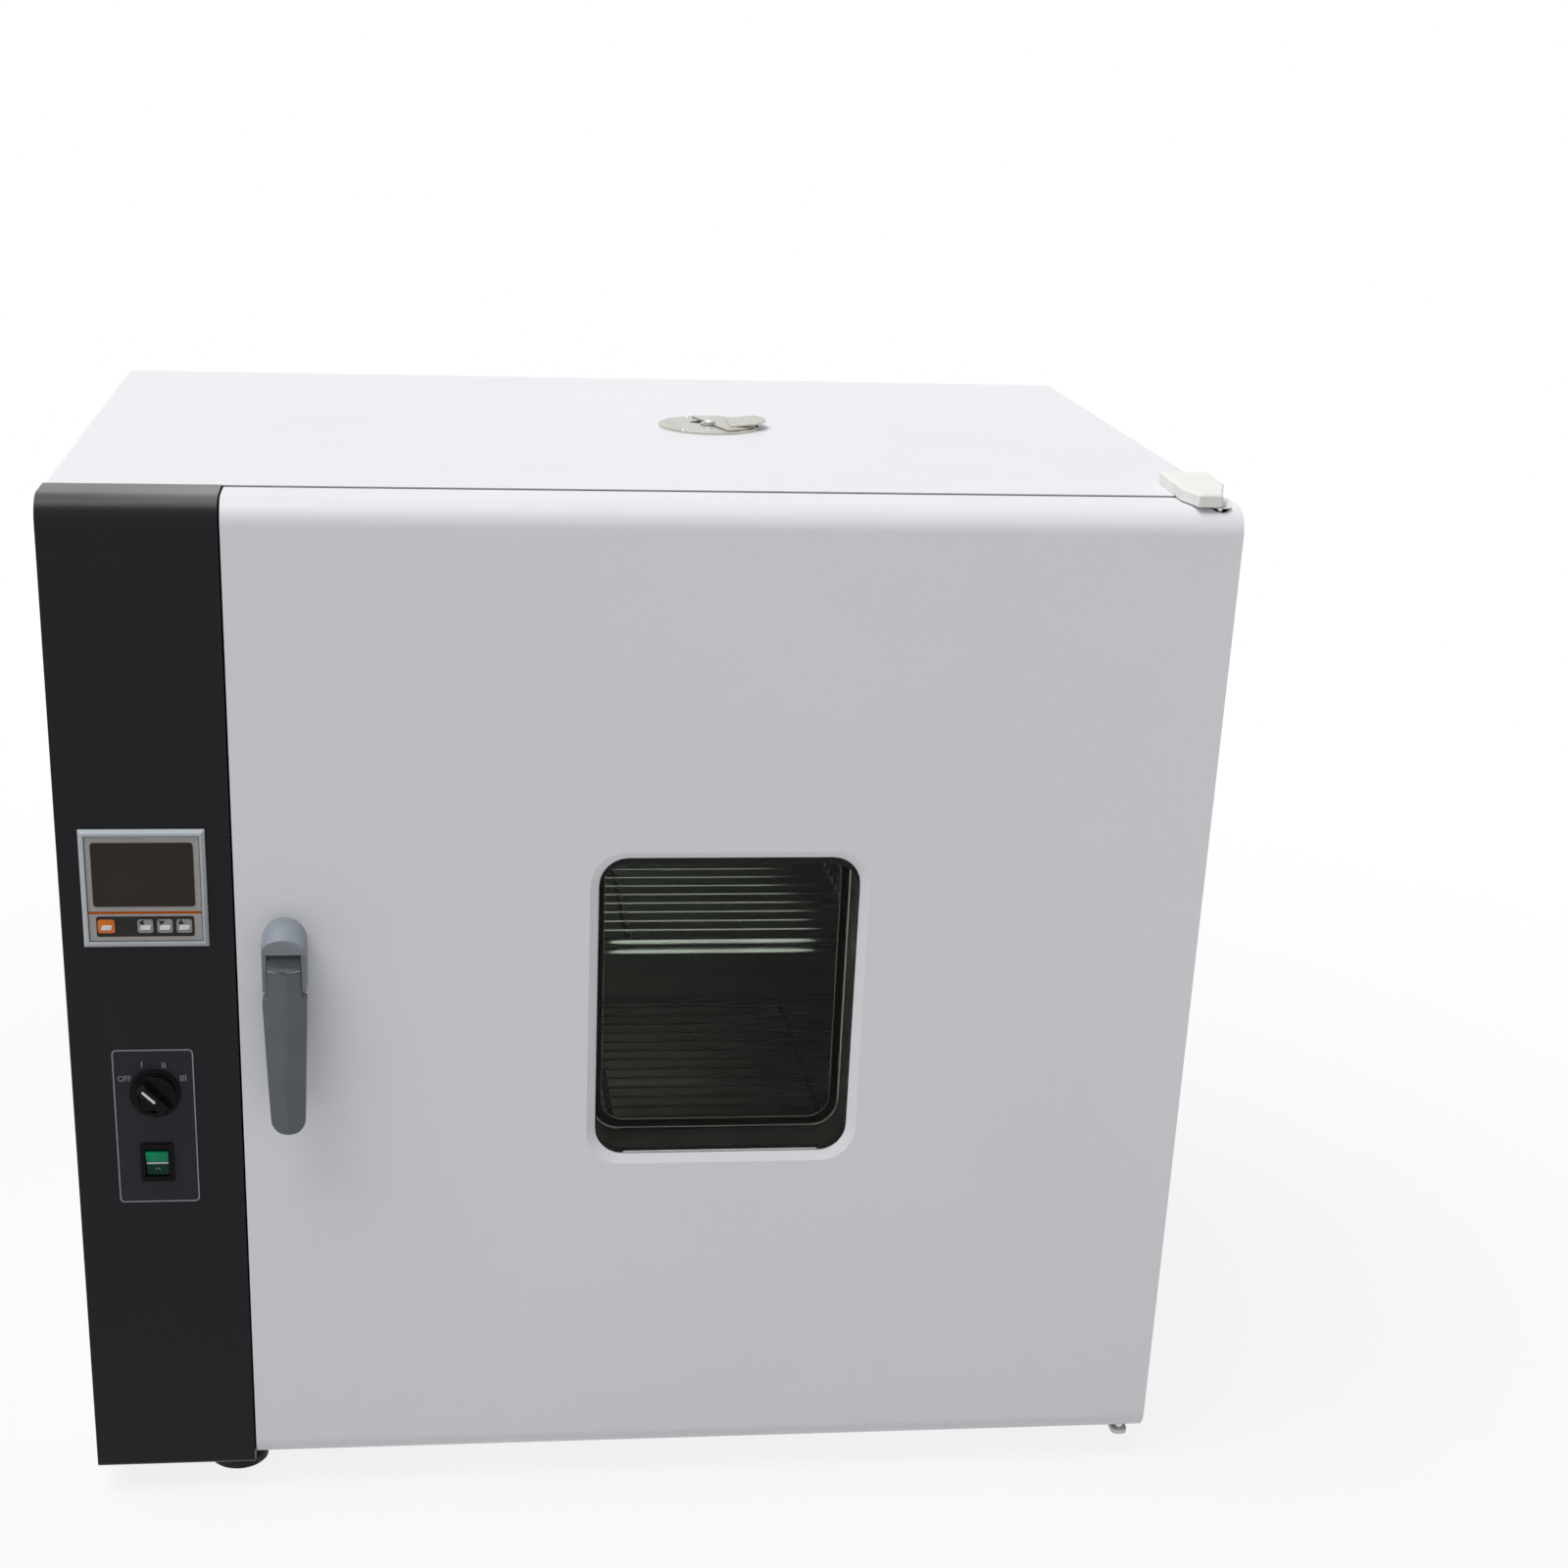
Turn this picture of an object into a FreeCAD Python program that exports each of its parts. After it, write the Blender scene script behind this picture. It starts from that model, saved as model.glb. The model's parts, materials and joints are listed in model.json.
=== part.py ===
import FreeCAD, Part
import math
import os

# Forced-air drying oven: a bench cabinet with one right-hinged door, a round-cornered
# stainless chamber, an air duct with a fan on the left and a black control column
# in front of the electrical compartment.
# Millimetres. X runs right, Y runs to the rear and Z up. The origin is on the floor,
# in the middle of the overall box.

V = FreeCAD.Vector

# Driving dimensions: cabinet
CAB_W = 910.0
CAB_H = 826.0
CAB_D = 633.0
FOOT_H = 25.0
SHEET = 1.5
DOOR_T = 50.0
DOOR_GAP = 4.5
HANDLE_PROUD = 38.0
GLAND_PROUD = 20.0
COLUMN_W = 132.0
DOOR_SIDE_GAP = 1.5
DOOR_BOTTOM_LIFT = 3.5
DOOR_TOP_DROP = 1.0
EDGE_R = 20.0

# Driving dimensions: chamber
OPEN_W = 651.0
OPEN_H = 700.0
OPEN_R = 25.0
OPEN_RIGHT_MARGIN = 62.0
OPEN_BOTTOM_MARGIN = 65.0
CHAMBER_D = 498.0
LIP_D = 9.5
DUCT_W = 52.0
FLOOR_LIFT = 28.0

# Places that follow from the driving dimensions
X_LEFT = -CAB_W / 2
X_RIGHT = CAB_W / 2
Y_FRONT = (HANDLE_PROUD - GLAND_PROUD - CAB_D) / 2
Y_REAR = Y_FRONT + CAB_D
Z_BASE = FOOT_H
Z_TOP = FOOT_H + CAB_H
Y_DOOR_REAR = Y_FRONT + DOOR_T
Y_FRAME = Y_DOOR_REAR + DOOR_GAP
X_COLUMN = X_LEFT + COLUMN_W
X_WALL = X_COLUMN + SHEET
X_DOOR = X_COLUMN + DOOR_SIDE_GAP
Z_DOOR_BASE = Z_BASE + DOOR_BOTTOM_LIFT
Z_DOOR_TOP = Z_TOP - DOOR_TOP_DROP
OPEN_X1 = X_RIGHT - OPEN_RIGHT_MARGIN
OPEN_X0 = OPEN_X1 - OPEN_W
OPEN_Z0 = Z_BASE + OPEN_BOTTOM_MARGIN
OPEN_Z1 = OPEN_Z0 + OPEN_H
Y_LINER = Y_FRAME + LIP_D
Y_DUCT = Y_LINER + 3.5
Y_CHAMBER = Y_DUCT + CHAMBER_D
Y_PANEL = Y_REAR - SHEET
X_DUCT = OPEN_X0 + DUCT_W
Z_FLOOR = OPEN_Z0 + FLOOR_LIFT
INSIDE_X0 = X_LEFT + SHEET
INSIDE_X1 = X_RIGHT - SHEET
INSIDE_Z0 = Z_BASE + SHEET
INSIDE_Z1 = Z_TOP - SHEET

# Driving dimensions: window
WIN_X = 68.0
WIN_Z = 439.5
GLASS_W = 209.0
GLASS_H = 251.0
GLASS_R = 23.0
BORDER_W = 224.0
BORDER_H = 272.0
BORDER_R = 29.0
BORDER_D = 5.5
INNER_VIEW_W = 193.0
INNER_VIEW_H = 235.0
PANE_T = 4.0

# Driving dimensions: control column
CTRL_X = -390.0
CTRL_Z = 548.7
CTRL_W = 96.0
CTRL_CASE_W = 91.0
CTRL_PROUD = 5.0
CTRL_DEPTH = 68.0
FACE_X0, FACE_X1 = -433.6, -346.2
FACE_Z0, FACE_Z1 = 505.5, 592.0
SCREEN_X0, SCREEN_X1 = -429.0, -351.3
SCREEN_Z0, SCREEN_Z1 = 534.5, 586.5
KEY_Z = 518.3
KEY_H = 11.0
KEYS = {"key_set": (-420.0, 13.0), "key_left": (-390.2, 12.0),
        "key_down": (-375.2, 12.0), "key_up": (-360.4, 12.0)}
LABEL_X0, LABEL_X1 = -423.0, -358.6
LABEL_Z0, LABEL_Z1 = 276.8, 412.5
LABEL_T = 0.8
KNOB_X, KNOB_Z = -390.0, 374.5
KNOB_R = 20.0
KNOB_REST = -45.0
SWITCH_X, SWITCH_Z = -391.2, 313.2
SWITCH_W, SWITCH_H = 26.5, 33.0
ROCKER_W = 18.0
ROCKER_TILT = 9.0
ROCKER_PIN_R = 1.5
ROCKER_Y = Y_FRONT + 4.5

# Driving dimensions: handle and latch
HANDLE_X = -283.8
HANDLE_W = 34.6
HANDLE_TOP = 523.5
HANDLE_LOW = 351.6
PIVOT_Y, PIVOT_Z = -322.0, 490.0
PIVOT_R = 2.5
CHEEK_T = 4.0
CHEEK_END = 470.5
HOOD_Z = 503.3
NECK_R = 12.5
HEAD_LEAN = 4.25
BAR_Y, BAR_Z = -270.0, 512.0
BAR_R = 3.0

# Driving dimensions: hinges
HINGE_X = X_RIGHT - 16.5
HINGE_Y = Y_FRONT + 16.0
PIN_R = 3.5
BUSH_R = 6.4
RUN = 0.05
PLATE_T = 4.0

# Driving dimensions: air system, shelves and vent
FAN_Y, FAN_Z = 9.0, 454.0
FAN_R = 92.0
FAN_BLADES = 16
SHAFT_R = 4.0
RAIL_PITCH = 59.0
RAIL_TAB = 38.0
RAIL_COUNT = 11
RAIL_Z = 130.0
RAIL_REACH = 16.0
RAIL_W = 26.0
SHELF_Y0, SHELF_Y1 = -217.0, 223.0
ROD_R = 3.0
WIRE_R = 1.25
WIRE_PITCH = 22.0
SHELF_TABS = {"shelf_upper": 5, "shelf_lower": 1}
VENT_X, VENT_Y = 79.0, 44.0
VENT_R = 45.0
VENT_BORE = 20.0
VENT_WALL = 2.0
FEET = [(-340.6, -253.5), (340.0, -216.0), (-340.6, 256.0), (340.0, 256.0)]
FOOT_R = 25.0
GLAND_X, GLAND_Z = -387.0, 90.0
GLAND_BORE = 4.5
GLAND_TAIL_R = 9.5
LOUVRE_X = -387.0
LOUVRE_W = 68.0


def box(x0, x1, y0, y1, z0, z1):
    return Part.makeBox(x1 - x0, y1 - y0, z1 - z0, V(x0, y0, z0))


def rod(r, start, end):
    line = V(*end) - V(*start)
    return Part.makeCylinder(r, line.Length, V(*start), line)


def place(axis, u, v, w):
    """A point from two in-plane coordinates and the height along the axis."""
    if axis == "x":
        return V(w, u, v)
    if axis == "y":
        return V(u, w, v)
    return V(u, v, w)


def outline(axis, u0, u1, v0, v1, r, w):
    """A closed rectangle with round corners, square to the axis at height w."""
    if r <= 0:
        corners = [(u0, v0), (u1, v0), (u1, v1), (u0, v1), (u0, v0)]
        return Part.makePolygon([place(axis, u, v, w) for u, v in corners])
    k = r * (1 - math.sqrt(0.5))
    edges = []
    sides = [((u0 + r, v0), (u1 - r, v0), (u1 - k, v0 + k), (u1, v0 + r)),
             ((u1, v0 + r), (u1, v1 - r), (u1 - k, v1 - k), (u1 - r, v1)),
             ((u1 - r, v1), (u0 + r, v1), (u0 + k, v1 - k), (u0, v1 - r)),
             ((u0, v1 - r), (u0, v0 + r), (u0 + k, v0 + k), (u0 + r, v0))]
    for start, end, mid, far in sides:
        a, b, m, c = (place(axis, u, v, w) for u, v in (start, end, mid, far))
        if (b - a).Length > 1e-6:
            edges.append(Part.LineSegment(a, b).toShape())
        edges.append(Part.Arc(b, m, c).toShape())
    return Part.Wire(edges)


def slab(axis, u0, u1, v0, v1, r, w0, w1):
    """A round-cornered plate between the heights w0 and w1 along the axis."""
    face = Part.Face(outline(axis, u0, u1, v0, v1, r, w0))
    return face.extrude(place(axis, 0, 0, w1 - w0))


def ring(axis, u0, u1, v0, v1, r, wall, w0, w1):
    """A round-cornered tube whose inner face is the given rectangle."""
    outer = slab(axis, u0 - wall, u1 + wall, v0 - wall, v1 + wall, r + wall, w0, w1)
    return outer.cut(slab(axis, u0, u1, v0, v1, r, w0 - 1, w1 + 1))


def polygon(axis, points, w0, w1):
    wire = Part.makePolygon([place(axis, u, v, w0) for u, v in points + points[:1]])
    return Part.Face(wire).extrude(place(axis, 0, 0, w1 - w0))


def centred(axis, u, v, du, dv, r, w0, w1):
    return slab(axis, u - du / 2, u + du / 2, v - dv / 2, v + dv / 2, r, w0, w1)


def turned(profile, start, direction):
    """A solid of revolution from (distance along the axis, radius) pairs."""
    points = [V(r, 0, h) for h, r in profile]
    solid = Part.Face(Part.makePolygon(points + points[:1])).revolve(V(0, 0, 0), V(0, 0, 1), 360)
    solid.Placement = FreeCAD.Placement(V(*start), FreeCAD.Rotation(V(0, 0, 1), V(*direction)))
    return solid


def bar(axis, r, sides, u, v, w0, w1):
    """A straight bar with flat sides, two of them square to the second in-plane direction.
    r is the distance from its middle to a side."""
    reach = r / math.cos(math.pi / sides)
    turn = math.pi / 2 - math.pi / sides
    points = [(u + reach * math.cos(turn + 2 * math.pi * i / sides),
               v + reach * math.sin(turn + 2 * math.pi * i / sides)) for i in range(sides)]
    return polygon(axis, points, w0, w1)


def fused(shapes):
    solid = shapes[0].multiFuse(shapes[1:])
    return solid.removeSplitter()


def write(name, shape):
    shape.exportStep(os.path.join("parts", name + ".step"))


def opening(y0, y1):
    return slab("y", OPEN_X0, OPEN_X1, OPEN_Z0, OPEN_Z1, OPEN_R, y0, y1)


# Cabinet casing

def casing_inside(y0, y1):
    """The room under the bent wrapper, round at its two upper corners."""
    return slab("y", INSIDE_X0, INSIDE_X1, Z_BASE - 20, INSIDE_Z1, 2.5, y0, y1)


def outer_wrapper():
    """Top and both sides bent from one sheet."""
    outer = slab("y", X_LEFT, X_RIGHT, Z_BASE, Z_TOP, 4.0, Y_FRAME, Y_REAR)
    outer = outer.fuse(box(X_LEFT, X_RIGHT, Y_FRAME, Y_REAR, Z_BASE, Z_BASE + 10)).removeSplitter()
    bore = rod(VENT_BORE, (VENT_X, VENT_Y, INSIDE_Z1 - 1), (VENT_X, VENT_Y, Z_TOP + 1))
    return outer.cut(casing_inside(Y_FRAME - 1, Y_REAR + 1)).cut(bore)


def base_pan():
    pan = box(INSIDE_X0, INSIDE_X1, Y_FRAME + SHEET, Y_PANEL, Z_BASE, INSIDE_Z0)
    slots = [box(LOUVRE_X + 14 * i - 3, LOUVRE_X + 14 * i + 3, -160, -80, Z_BASE - 1, INSIDE_Z0 + 1)
             for i in range(-2, 3)]
    return pan.cut(Part.makeCompound(slots))


def front_frame():
    """The painted face around the opening, with a lip turned into the chamber."""
    plate = box(X_WALL, INSIDE_X1, Y_FRAME, Y_FRAME + SHEET, Z_BASE, INSIDE_Z1)
    plate = plate.common(casing_inside(Y_FRAME, Y_FRAME + SHEET))
    plate = plate.cut(opening(Y_FRAME - 1, Y_FRAME + SHEET + 1))
    lip = ring("y", OPEN_X0, OPEN_X1, OPEN_Z0, OPEN_Z1, OPEN_R, SHEET, Y_FRAME, Y_LINER)
    return fused([plate, lip])


def louvre(z):
    """One pressed louvre: a shallow hood over a slot, open downwards."""
    profile = [(Y_REAR, z + 8), (Y_REAR + 5, z), (Y_REAR + 3.5, z), (Y_REAR - SHEET, z + 6)]
    return polygon("x", profile, LOUVRE_X - LOUVRE_W / 2, LOUVRE_X + LOUVRE_W / 2)


def rear_panel():
    panel = casing_inside(Y_PANEL, Y_REAR)
    panel = panel.common(box(INSIDE_X0, INSIDE_X1, Y_PANEL, Y_REAR, Z_BASE, INSIDE_Z1))
    rows = [620.0 + 24 * i for i in range(5)] + [160.0 + 24 * i for i in range(3)]
    half = LOUVRE_W / 2 - 1
    for z in rows:
        panel = panel.cut(box(LOUVRE_X - half, LOUVRE_X + half, Y_PANEL - 1, Y_REAR + 1, z - 2, z + 4))
    panel = fused([panel] + [louvre(z) for z in rows])
    entry = rod(GLAND_TAIL_R + 0.5, (GLAND_X, Y_PANEL - 5, GLAND_Z), (GLAND_X, Y_REAR + 1, GLAND_Z))
    return panel.cut(entry)


def chamber_liner():
    """Inner stainless box: rolled round corners and a flat rear wall."""
    tube = ring("y", OPEN_X0, OPEN_X1, OPEN_Z0, OPEN_Z1, OPEN_R, SHEET, Y_LINER, Y_CHAMBER)
    rear = slab("y", OPEN_X0 - SHEET, OPEN_X1 + SHEET, OPEN_Z0 - SHEET, OPEN_Z1 + SHEET,
                OPEN_R + SHEET, Y_CHAMBER, Y_CHAMBER + SHEET)
    liner = fused([tube, rear])
    liner = liner.cut(rod(12.0, (OPEN_X0 - 5, FAN_Y, FAN_Z), (OPEN_X0 + 1, FAN_Y, FAN_Z)))
    return liner.cut(rod(VENT_BORE, (VENT_X, VENT_Y, OPEN_Z1 - 1), (VENT_X, VENT_Y, OPEN_Z1 + 5)))


def insulation():
    """Glass-wool slabs that fill the walls around the liner. Four pieces lie on the
    liner's top and leave a square gap for the vent tube."""
    x0, x1 = OPEN_X0 - SHEET, OPEN_X1 + SHEET
    z0, z1 = OPEN_Z0 - SHEET, OPEN_Z1 + SHEET
    xa, xb, ya, yb = X_WALL + SHEET, INSIDE_X1 - 3, Y_FRAME + SHEET, Y_PANEL
    gap = VENT_BORE + VENT_WALL + 1
    slabs = [box(xa, xb, ya, VENT_Y - gap, z1, INSIDE_Z1),
             box(xa, xb, VENT_Y + gap, yb, z1, INSIDE_Z1),
             box(xa, VENT_X - gap, VENT_Y - gap, VENT_Y + gap, z1, INSIDE_Z1),
             box(VENT_X + gap, xb, VENT_Y - gap, VENT_Y + gap, z1, INSIDE_Z1)]
    left = box(xa, x0, ya, yb, z0, z1)
    slabs.append(left.cut(box(xa - 1, x0 + 1, FAN_Y - 12, FAN_Y + 12, FAN_Z - 12, FAN_Z + 12)))
    slabs.append(box(xa, INSIDE_X1, ya, yb, INSIDE_Z0, z0))
    slabs.append(box(x1, INSIDE_X1, ya, yb, z0, z1))
    slabs.append(box(x0, x1, Y_CHAMBER + SHEET, yb, z0, z1))
    return Part.makeCompound(slabs)


def compartment_wall():
    wall = box(X_WALL, X_WALL + SHEET, Y_FRAME + SHEET, Y_PANEL, INSIDE_Z0, INSIDE_Z1)
    return wall.cut(rod(12.0, (X_WALL - 1, FAN_Y, FAN_Z), (X_WALL + 5, FAN_Y, FAN_Z)))


def foot(x, y):
    """Rubber foot: a wide puck under a narrower neck."""
    return fused([bar("z", FOOT_R, 16, x, y, 0, 10), bar("z", FOOT_R - 5, 16, x, y, 10, FOOT_H)])


# Air system

def duct_slot(y, z):
    return box(X_DUCT - SHEET - 1, X_DUCT + 1, y - 15, y + 15, z - 3.5, z + 3.5)


def duct_panel():
    """The sheet that closes the air duct: a front strip and a slotted side wall."""
    strip = opening(Y_DUCT, Y_DUCT + SHEET).common(box(OPEN_X0, X_DUCT, Y_DUCT, Y_DUCT + SHEET,
                                                       OPEN_Z0, OPEN_Z1))
    wall = box(X_DUCT - SHEET, X_DUCT, Y_DUCT, Y_CHAMBER, Z_FLOOR, OPEN_Z1)
    panel = fused([strip, wall])
    slots = []
    for row_z in (OPEN_Z1 - 38, OPEN_Z1 - 62, Z_FLOOR + 58, Z_FLOOR + 34):
        slots += [duct_slot(-184.0 + 54 * i, row_z) for i in range(8)]
    for i in range(10):
        blade = box(X_DUCT - SHEET - 1, X_DUCT + 1, 26, 66, -3.5, 3.5)
        blade.rotate(V(0, 26, 0), V(1, 0, 0), 35)
        blade.rotate(V(0, 0, 0), V(1, 0, 0), 36.0 * i)
        blade.translate(V(0, FAN_Y, FAN_Z))
        slots.append(blade)
    return panel.cut(Part.makeCompound(slots))


def floor_plate():
    """Raised chamber floor over the heaters, with a front sill and air slots."""
    sill = opening(Y_DUCT, Y_DUCT + SHEET).common(box(X_DUCT, OPEN_X1, Y_DUCT, Y_DUCT + SHEET,
                                                      OPEN_Z0, Z_FLOOR))
    deck = box(X_DUCT, OPEN_X1, Y_DUCT, Y_CHAMBER, Z_FLOOR - SHEET, Z_FLOOR)
    slots = [box(OPEN_X1 - 28 - 18 * r, OPEN_X1 - 21 - 18 * r, -200 + 44 * i, -172 + 44 * i,
                 Z_FLOOR - 5, Z_FLOOR + 1) for r in range(2) for i in range(10)]
    return fused([sill, deck]).cut(Part.makeCompound(slots))


def heater_elements():
    """Hairpin tubular heaters under the floor, each with two fixing collars at the rear."""
    z, near, half = OPEN_Z0 + 12, -160.0, 28.0
    hairpins = []
    for x in (-80.0, 90.0, 260.0):
        bend = bar("x", 4.0, 8, near, z, x - half - 4, x + half + 4)
        legs = [bar("y", 4.0, 8, x + side, z, near, Y_CHAMBER) for side in (-half, half)]
        collars = [bar("y", 8.0, 6, x + side, z, Y_CHAMBER - 8, Y_CHAMBER) for side in (-half, half)]
        hairpins.append(fused([bend] + legs + collars))
    return Part.makeCompound(hairpins)


def fan_wheel():
    """Centrifugal wheel: hub, back plate, swept blades of two flats and a front ring."""
    x0, x1 = OPEN_X0 + 8, X_DUCT - SHEET - 7
    back = bar("x", FAN_R, 32, FAN_Y, FAN_Z, x0, x0 + 1.5)
    hub = bar("x", 14.0, 8, FAN_Y, FAN_Z, x0, x0 + 20)
    front = bar("x", FAN_R, 32, FAN_Y, FAN_Z, x1 - 1.5, x1)
    front = front.cut(bar("x", FAN_R - 26, 32, FAN_Y, FAN_Z, x1 - 3, x1 + 1))
    inner, outer = FAN_R - 24.0, FAN_R - 1.5
    section = [(inner, 0.0), ((inner + outer) / 2, -3.4), (outer, 3.5), (outer, 5.0),
               ((inner + outer) / 2, -1.8), (inner, 1.6)]
    blades = []
    for i in range(FAN_BLADES):
        blade = polygon("x", section, 0.0, x1 - x0 - 2)
        blade.rotate(V(0, 0, 0), V(1, 0, 0), 360.0 * i / FAN_BLADES)
        blade.translate(V(x0 + 1, FAN_Y, FAN_Z))
        blades.append(blade)
    wheel = fused([back, hub, front] + blades)
    return wheel.cut(rod(SHAFT_R, (x0 - 1, FAN_Y, FAN_Z), (x0 + 21, FAN_Y, FAN_Z)))


def fan_motor():
    """Motor with a square mounting flange, a ribbed body and a stepped end bell."""
    parts = [centred("x", FAN_Y, FAN_Z, 100, 100, 0, X_WALL - 6, X_WALL),
             bar("x", 40.0, 12, FAN_Y, FAN_Z, X_WALL - 18, X_WALL - 6),
             bar("x", 44.0, 12, FAN_Y, FAN_Z, X_WALL - 58, X_WALL - 18),
             bar("x", 36.0, 12, FAN_Y, FAN_Z, X_WALL - 72, X_WALL - 58)]
    seat = rod(SHAFT_R + RUN, (X_WALL - 24, FAN_Y, FAN_Z), (X_WALL + 1, FAN_Y, FAN_Z))
    return fused(parts).cut(seat)


def probe():
    """Temperature probe: a thin rod held by a collar on the duct wall."""
    y, z = -60.0, 765.0
    collar = bar("x", 8.0, 6, y, z, X_DUCT, X_DUCT + 5)
    neck = bar("x", 5.0, 6, y, z, X_DUCT + 5, X_DUCT + 11)
    return fused([collar, neck, rod(3.0, (X_DUCT + 8, y, z), (X_DUCT + 129, y, z))])


# Shelves

def rail(wall_x, inward, y0):
    """Shelf rail: a flat strip with tabs bent out of it."""
    z0, z1 = RAIL_Z - 6, RAIL_Z + RAIL_PITCH * (RAIL_COUNT - 1) + RAIL_TAB + 6
    x_a, x_b = sorted((wall_x, wall_x + inward * SHEET))
    parts = [box(x_a, x_b, y0, y0 + RAIL_W, z0, z1)]
    x_a, x_b = sorted((wall_x, wall_x + inward * RAIL_REACH))
    for i in range(RAIL_COUNT):
        z = RAIL_Z + RAIL_PITCH * i
        parts.append(box(x_a, x_b, y0, y0 + 2 * SHEET, z, z + RAIL_TAB))
    return fused(parts)


def shelf(tab):
    """Wire shelf: a bar frame, a second bar below its front, two long bars and cross wires."""
    z = RAIL_Z + RAIL_PITCH * tab + RAIL_TAB + 0.3 + ROD_R
    x0, x1 = X_DUCT + 5, OPEN_X1 - 5
    y0, y1 = SHELF_Y0 + ROD_R, SHELF_Y1 - ROD_R
    low = z - 9.0
    third = (x1 - x0) / 3
    frame = [bar("x", ROD_R, 8, y, z, x0, x1) for y in (SHELF_Y0, SHELF_Y1)]
    frame += [bar("y", ROD_R, 8, x, z, SHELF_Y0, SHELF_Y1)
              for x in (x0 + ROD_R, x0 + third, x1 - third, x1 - ROD_R)]
    frame.append(bar("x", ROD_R, 8, SHELF_Y0, low, x0 + 20, x1 - 20))
    frame += [box(x - 2, x + 2, SHELF_Y0 - 2, SHELF_Y0 + 2, low, z) for x in (x0 + 24, x1 - 24)]
    solids = [fused(frame)]
    count = int((y1 - y0 - 20) / WIRE_PITCH) + 1
    top = z + ROD_R + WIRE_R
    for i in range(count):
        solids.append(bar("x", WIRE_R, 6, y0 + 12 + WIRE_PITCH * i, top, x0 + 0.5, x1 - 0.5))
    return Part.makeCompound(solids)


# Vent

def sector(r, a0, a1, z0, z1):
    """A pie slice about the vent's centre, between two angles in degrees."""
    point = [V(VENT_X + r * math.cos(math.radians(a)), VENT_Y + r * math.sin(math.radians(a)), z0)
             for a in (a0, (a0 + a1) / 2, a1)]
    centre = V(VENT_X, VENT_Y, z0)
    edges = [Part.LineSegment(centre, point[0]).toShape(), Part.Arc(*point).toShape(),
             Part.LineSegment(point[2], centre).toShape()]
    return Part.Face(Part.Wire(edges)).extrude(V(0, 0, z1 - z0))


def vent_plate():
    disc = bar("z", VENT_R, 40, VENT_X, VENT_Y, Z_TOP, Z_TOP + 2)
    hole = sector(VENT_BORE, -75, 150, Z_TOP - 1, Z_TOP + 4)
    hub = bar("z", 6.0, 12, VENT_X, VENT_Y, Z_TOP, Z_TOP + 2)
    plate = disc.cut(hole).fuse(hub).removeSplitter()
    return plate.cut(rod(2.45, (VENT_X, VENT_Y, Z_TOP - 1), (VENT_X, VENT_Y, Z_TOP + 4)))


def vent_damper():
    """Half-round slide on a screw, with a raised thumb tab on its right."""
    z = Z_TOP + 2.3
    half = sector(VENT_R - 6, -72, 108, z, z + 1.2)
    hub = rod(8.0, (VENT_X, VENT_Y, z), (VENT_X, VENT_Y, z + 1.2))
    start, end = VENT_X + 16, VENT_X + 50
    slope = [(start, z + 0.6), (end - 6, z + 3.8), (end - 6, z + 5.0), (start, z + 1.8)]
    ramp = polygon("y", slope, VENT_Y - 22, VENT_Y + 22)
    lip = box(end - 8, end, VENT_Y - 22, VENT_Y + 22, z + 3.6, z + 4.8)
    round_end = rod(28.0, (end - 28, VENT_Y, z - 1), (end - 28, VENT_Y, z + 8))
    tab = fused([ramp, lip]).common(round_end)
    body = fused([half, hub, tab])
    return body.cut(rod(2.5, (VENT_X, VENT_Y, z - 1), (VENT_X, VENT_Y, z + 8)))


def vent_tube():
    """Rolled tube of flats between the liner and the casing."""
    z0, z1 = OPEN_Z1 + SHEET, INSIDE_Z1
    outer = bar("z", VENT_BORE + VENT_WALL, 24, VENT_X, VENT_Y, z0, z1)
    return outer.cut(bar("z", VENT_BORE, 24, VENT_X, VENT_Y, z0 - 1, z1 + 1))


def vent_screw():
    shank = rod(2.45, (VENT_X, VENT_Y, Z_TOP), (VENT_X, VENT_Y, Z_TOP + 3.8))
    return fused([shank, bar("z", 5.3, 12, VENT_X, VENT_Y, Z_TOP + 3.8, Z_TOP + 6.3)])


# Control column

def column_profile(inset, x0, x1, y_back):
    """The column's side profile: a round top front edge and a small lower one."""
    y, z0, z1 = Y_FRONT + inset, Z_BASE + inset, Z_TOP - inset
    r, q = EDGE_R - inset, 5.0 - inset
    k = 1 - math.sqrt(0.5)
    edges = [Part.LineSegment(V(x0, y_back, z0), V(x0, y + q, z0)),
             Part.Arc(V(x0, y + q, z0), V(x0, y + q * k, z0 + q * k), V(x0, y, z0 + q)),
             Part.LineSegment(V(x0, y, z0 + q), V(x0, y, z1 - r)),
             Part.Arc(V(x0, y, z1 - r), V(x0, y + r * k, z1 - r * k), V(x0, y + r, z1)),
             Part.LineSegment(V(x0, y + r, z1), V(x0, y_back, z1)),
             Part.LineSegment(V(x0, y_back, z1), V(x0, y_back, z0))]
    return Part.Face(Part.Wire([e.toShape() for e in edges])).extrude(V(x1 - x0, 0, 0))


def control_column():
    """Black housing of the controls, open to the electrical compartment behind."""
    wall = 2.0
    shell = column_profile(0, X_LEFT, X_COLUMN, Y_FRAME)
    shell = shell.cut(column_profile(wall, X_LEFT + wall, X_COLUMN - wall, Y_FRAME + 1))
    y0, y1 = Y_FRONT - 1, Y_FRONT + wall + 1
    holes = [centred("y", CTRL_X, CTRL_Z, CTRL_CASE_W, CTRL_CASE_W, 0, y0, y1),
             centred("y", SWITCH_X, SWITCH_Z, SWITCH_W - 2.5, SWITCH_H - 3, 0, y0, y1),
             rod(5.0, (KNOB_X, y0, KNOB_Z), (KNOB_X, y1, KNOB_Z)),
             box(X_COLUMN - 5, X_COLUMN + 1, Y_FRONT + 14, Y_FRONT + 34, 62, 84)]
    return shell.cut(Part.makeCompound(holes))


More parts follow.
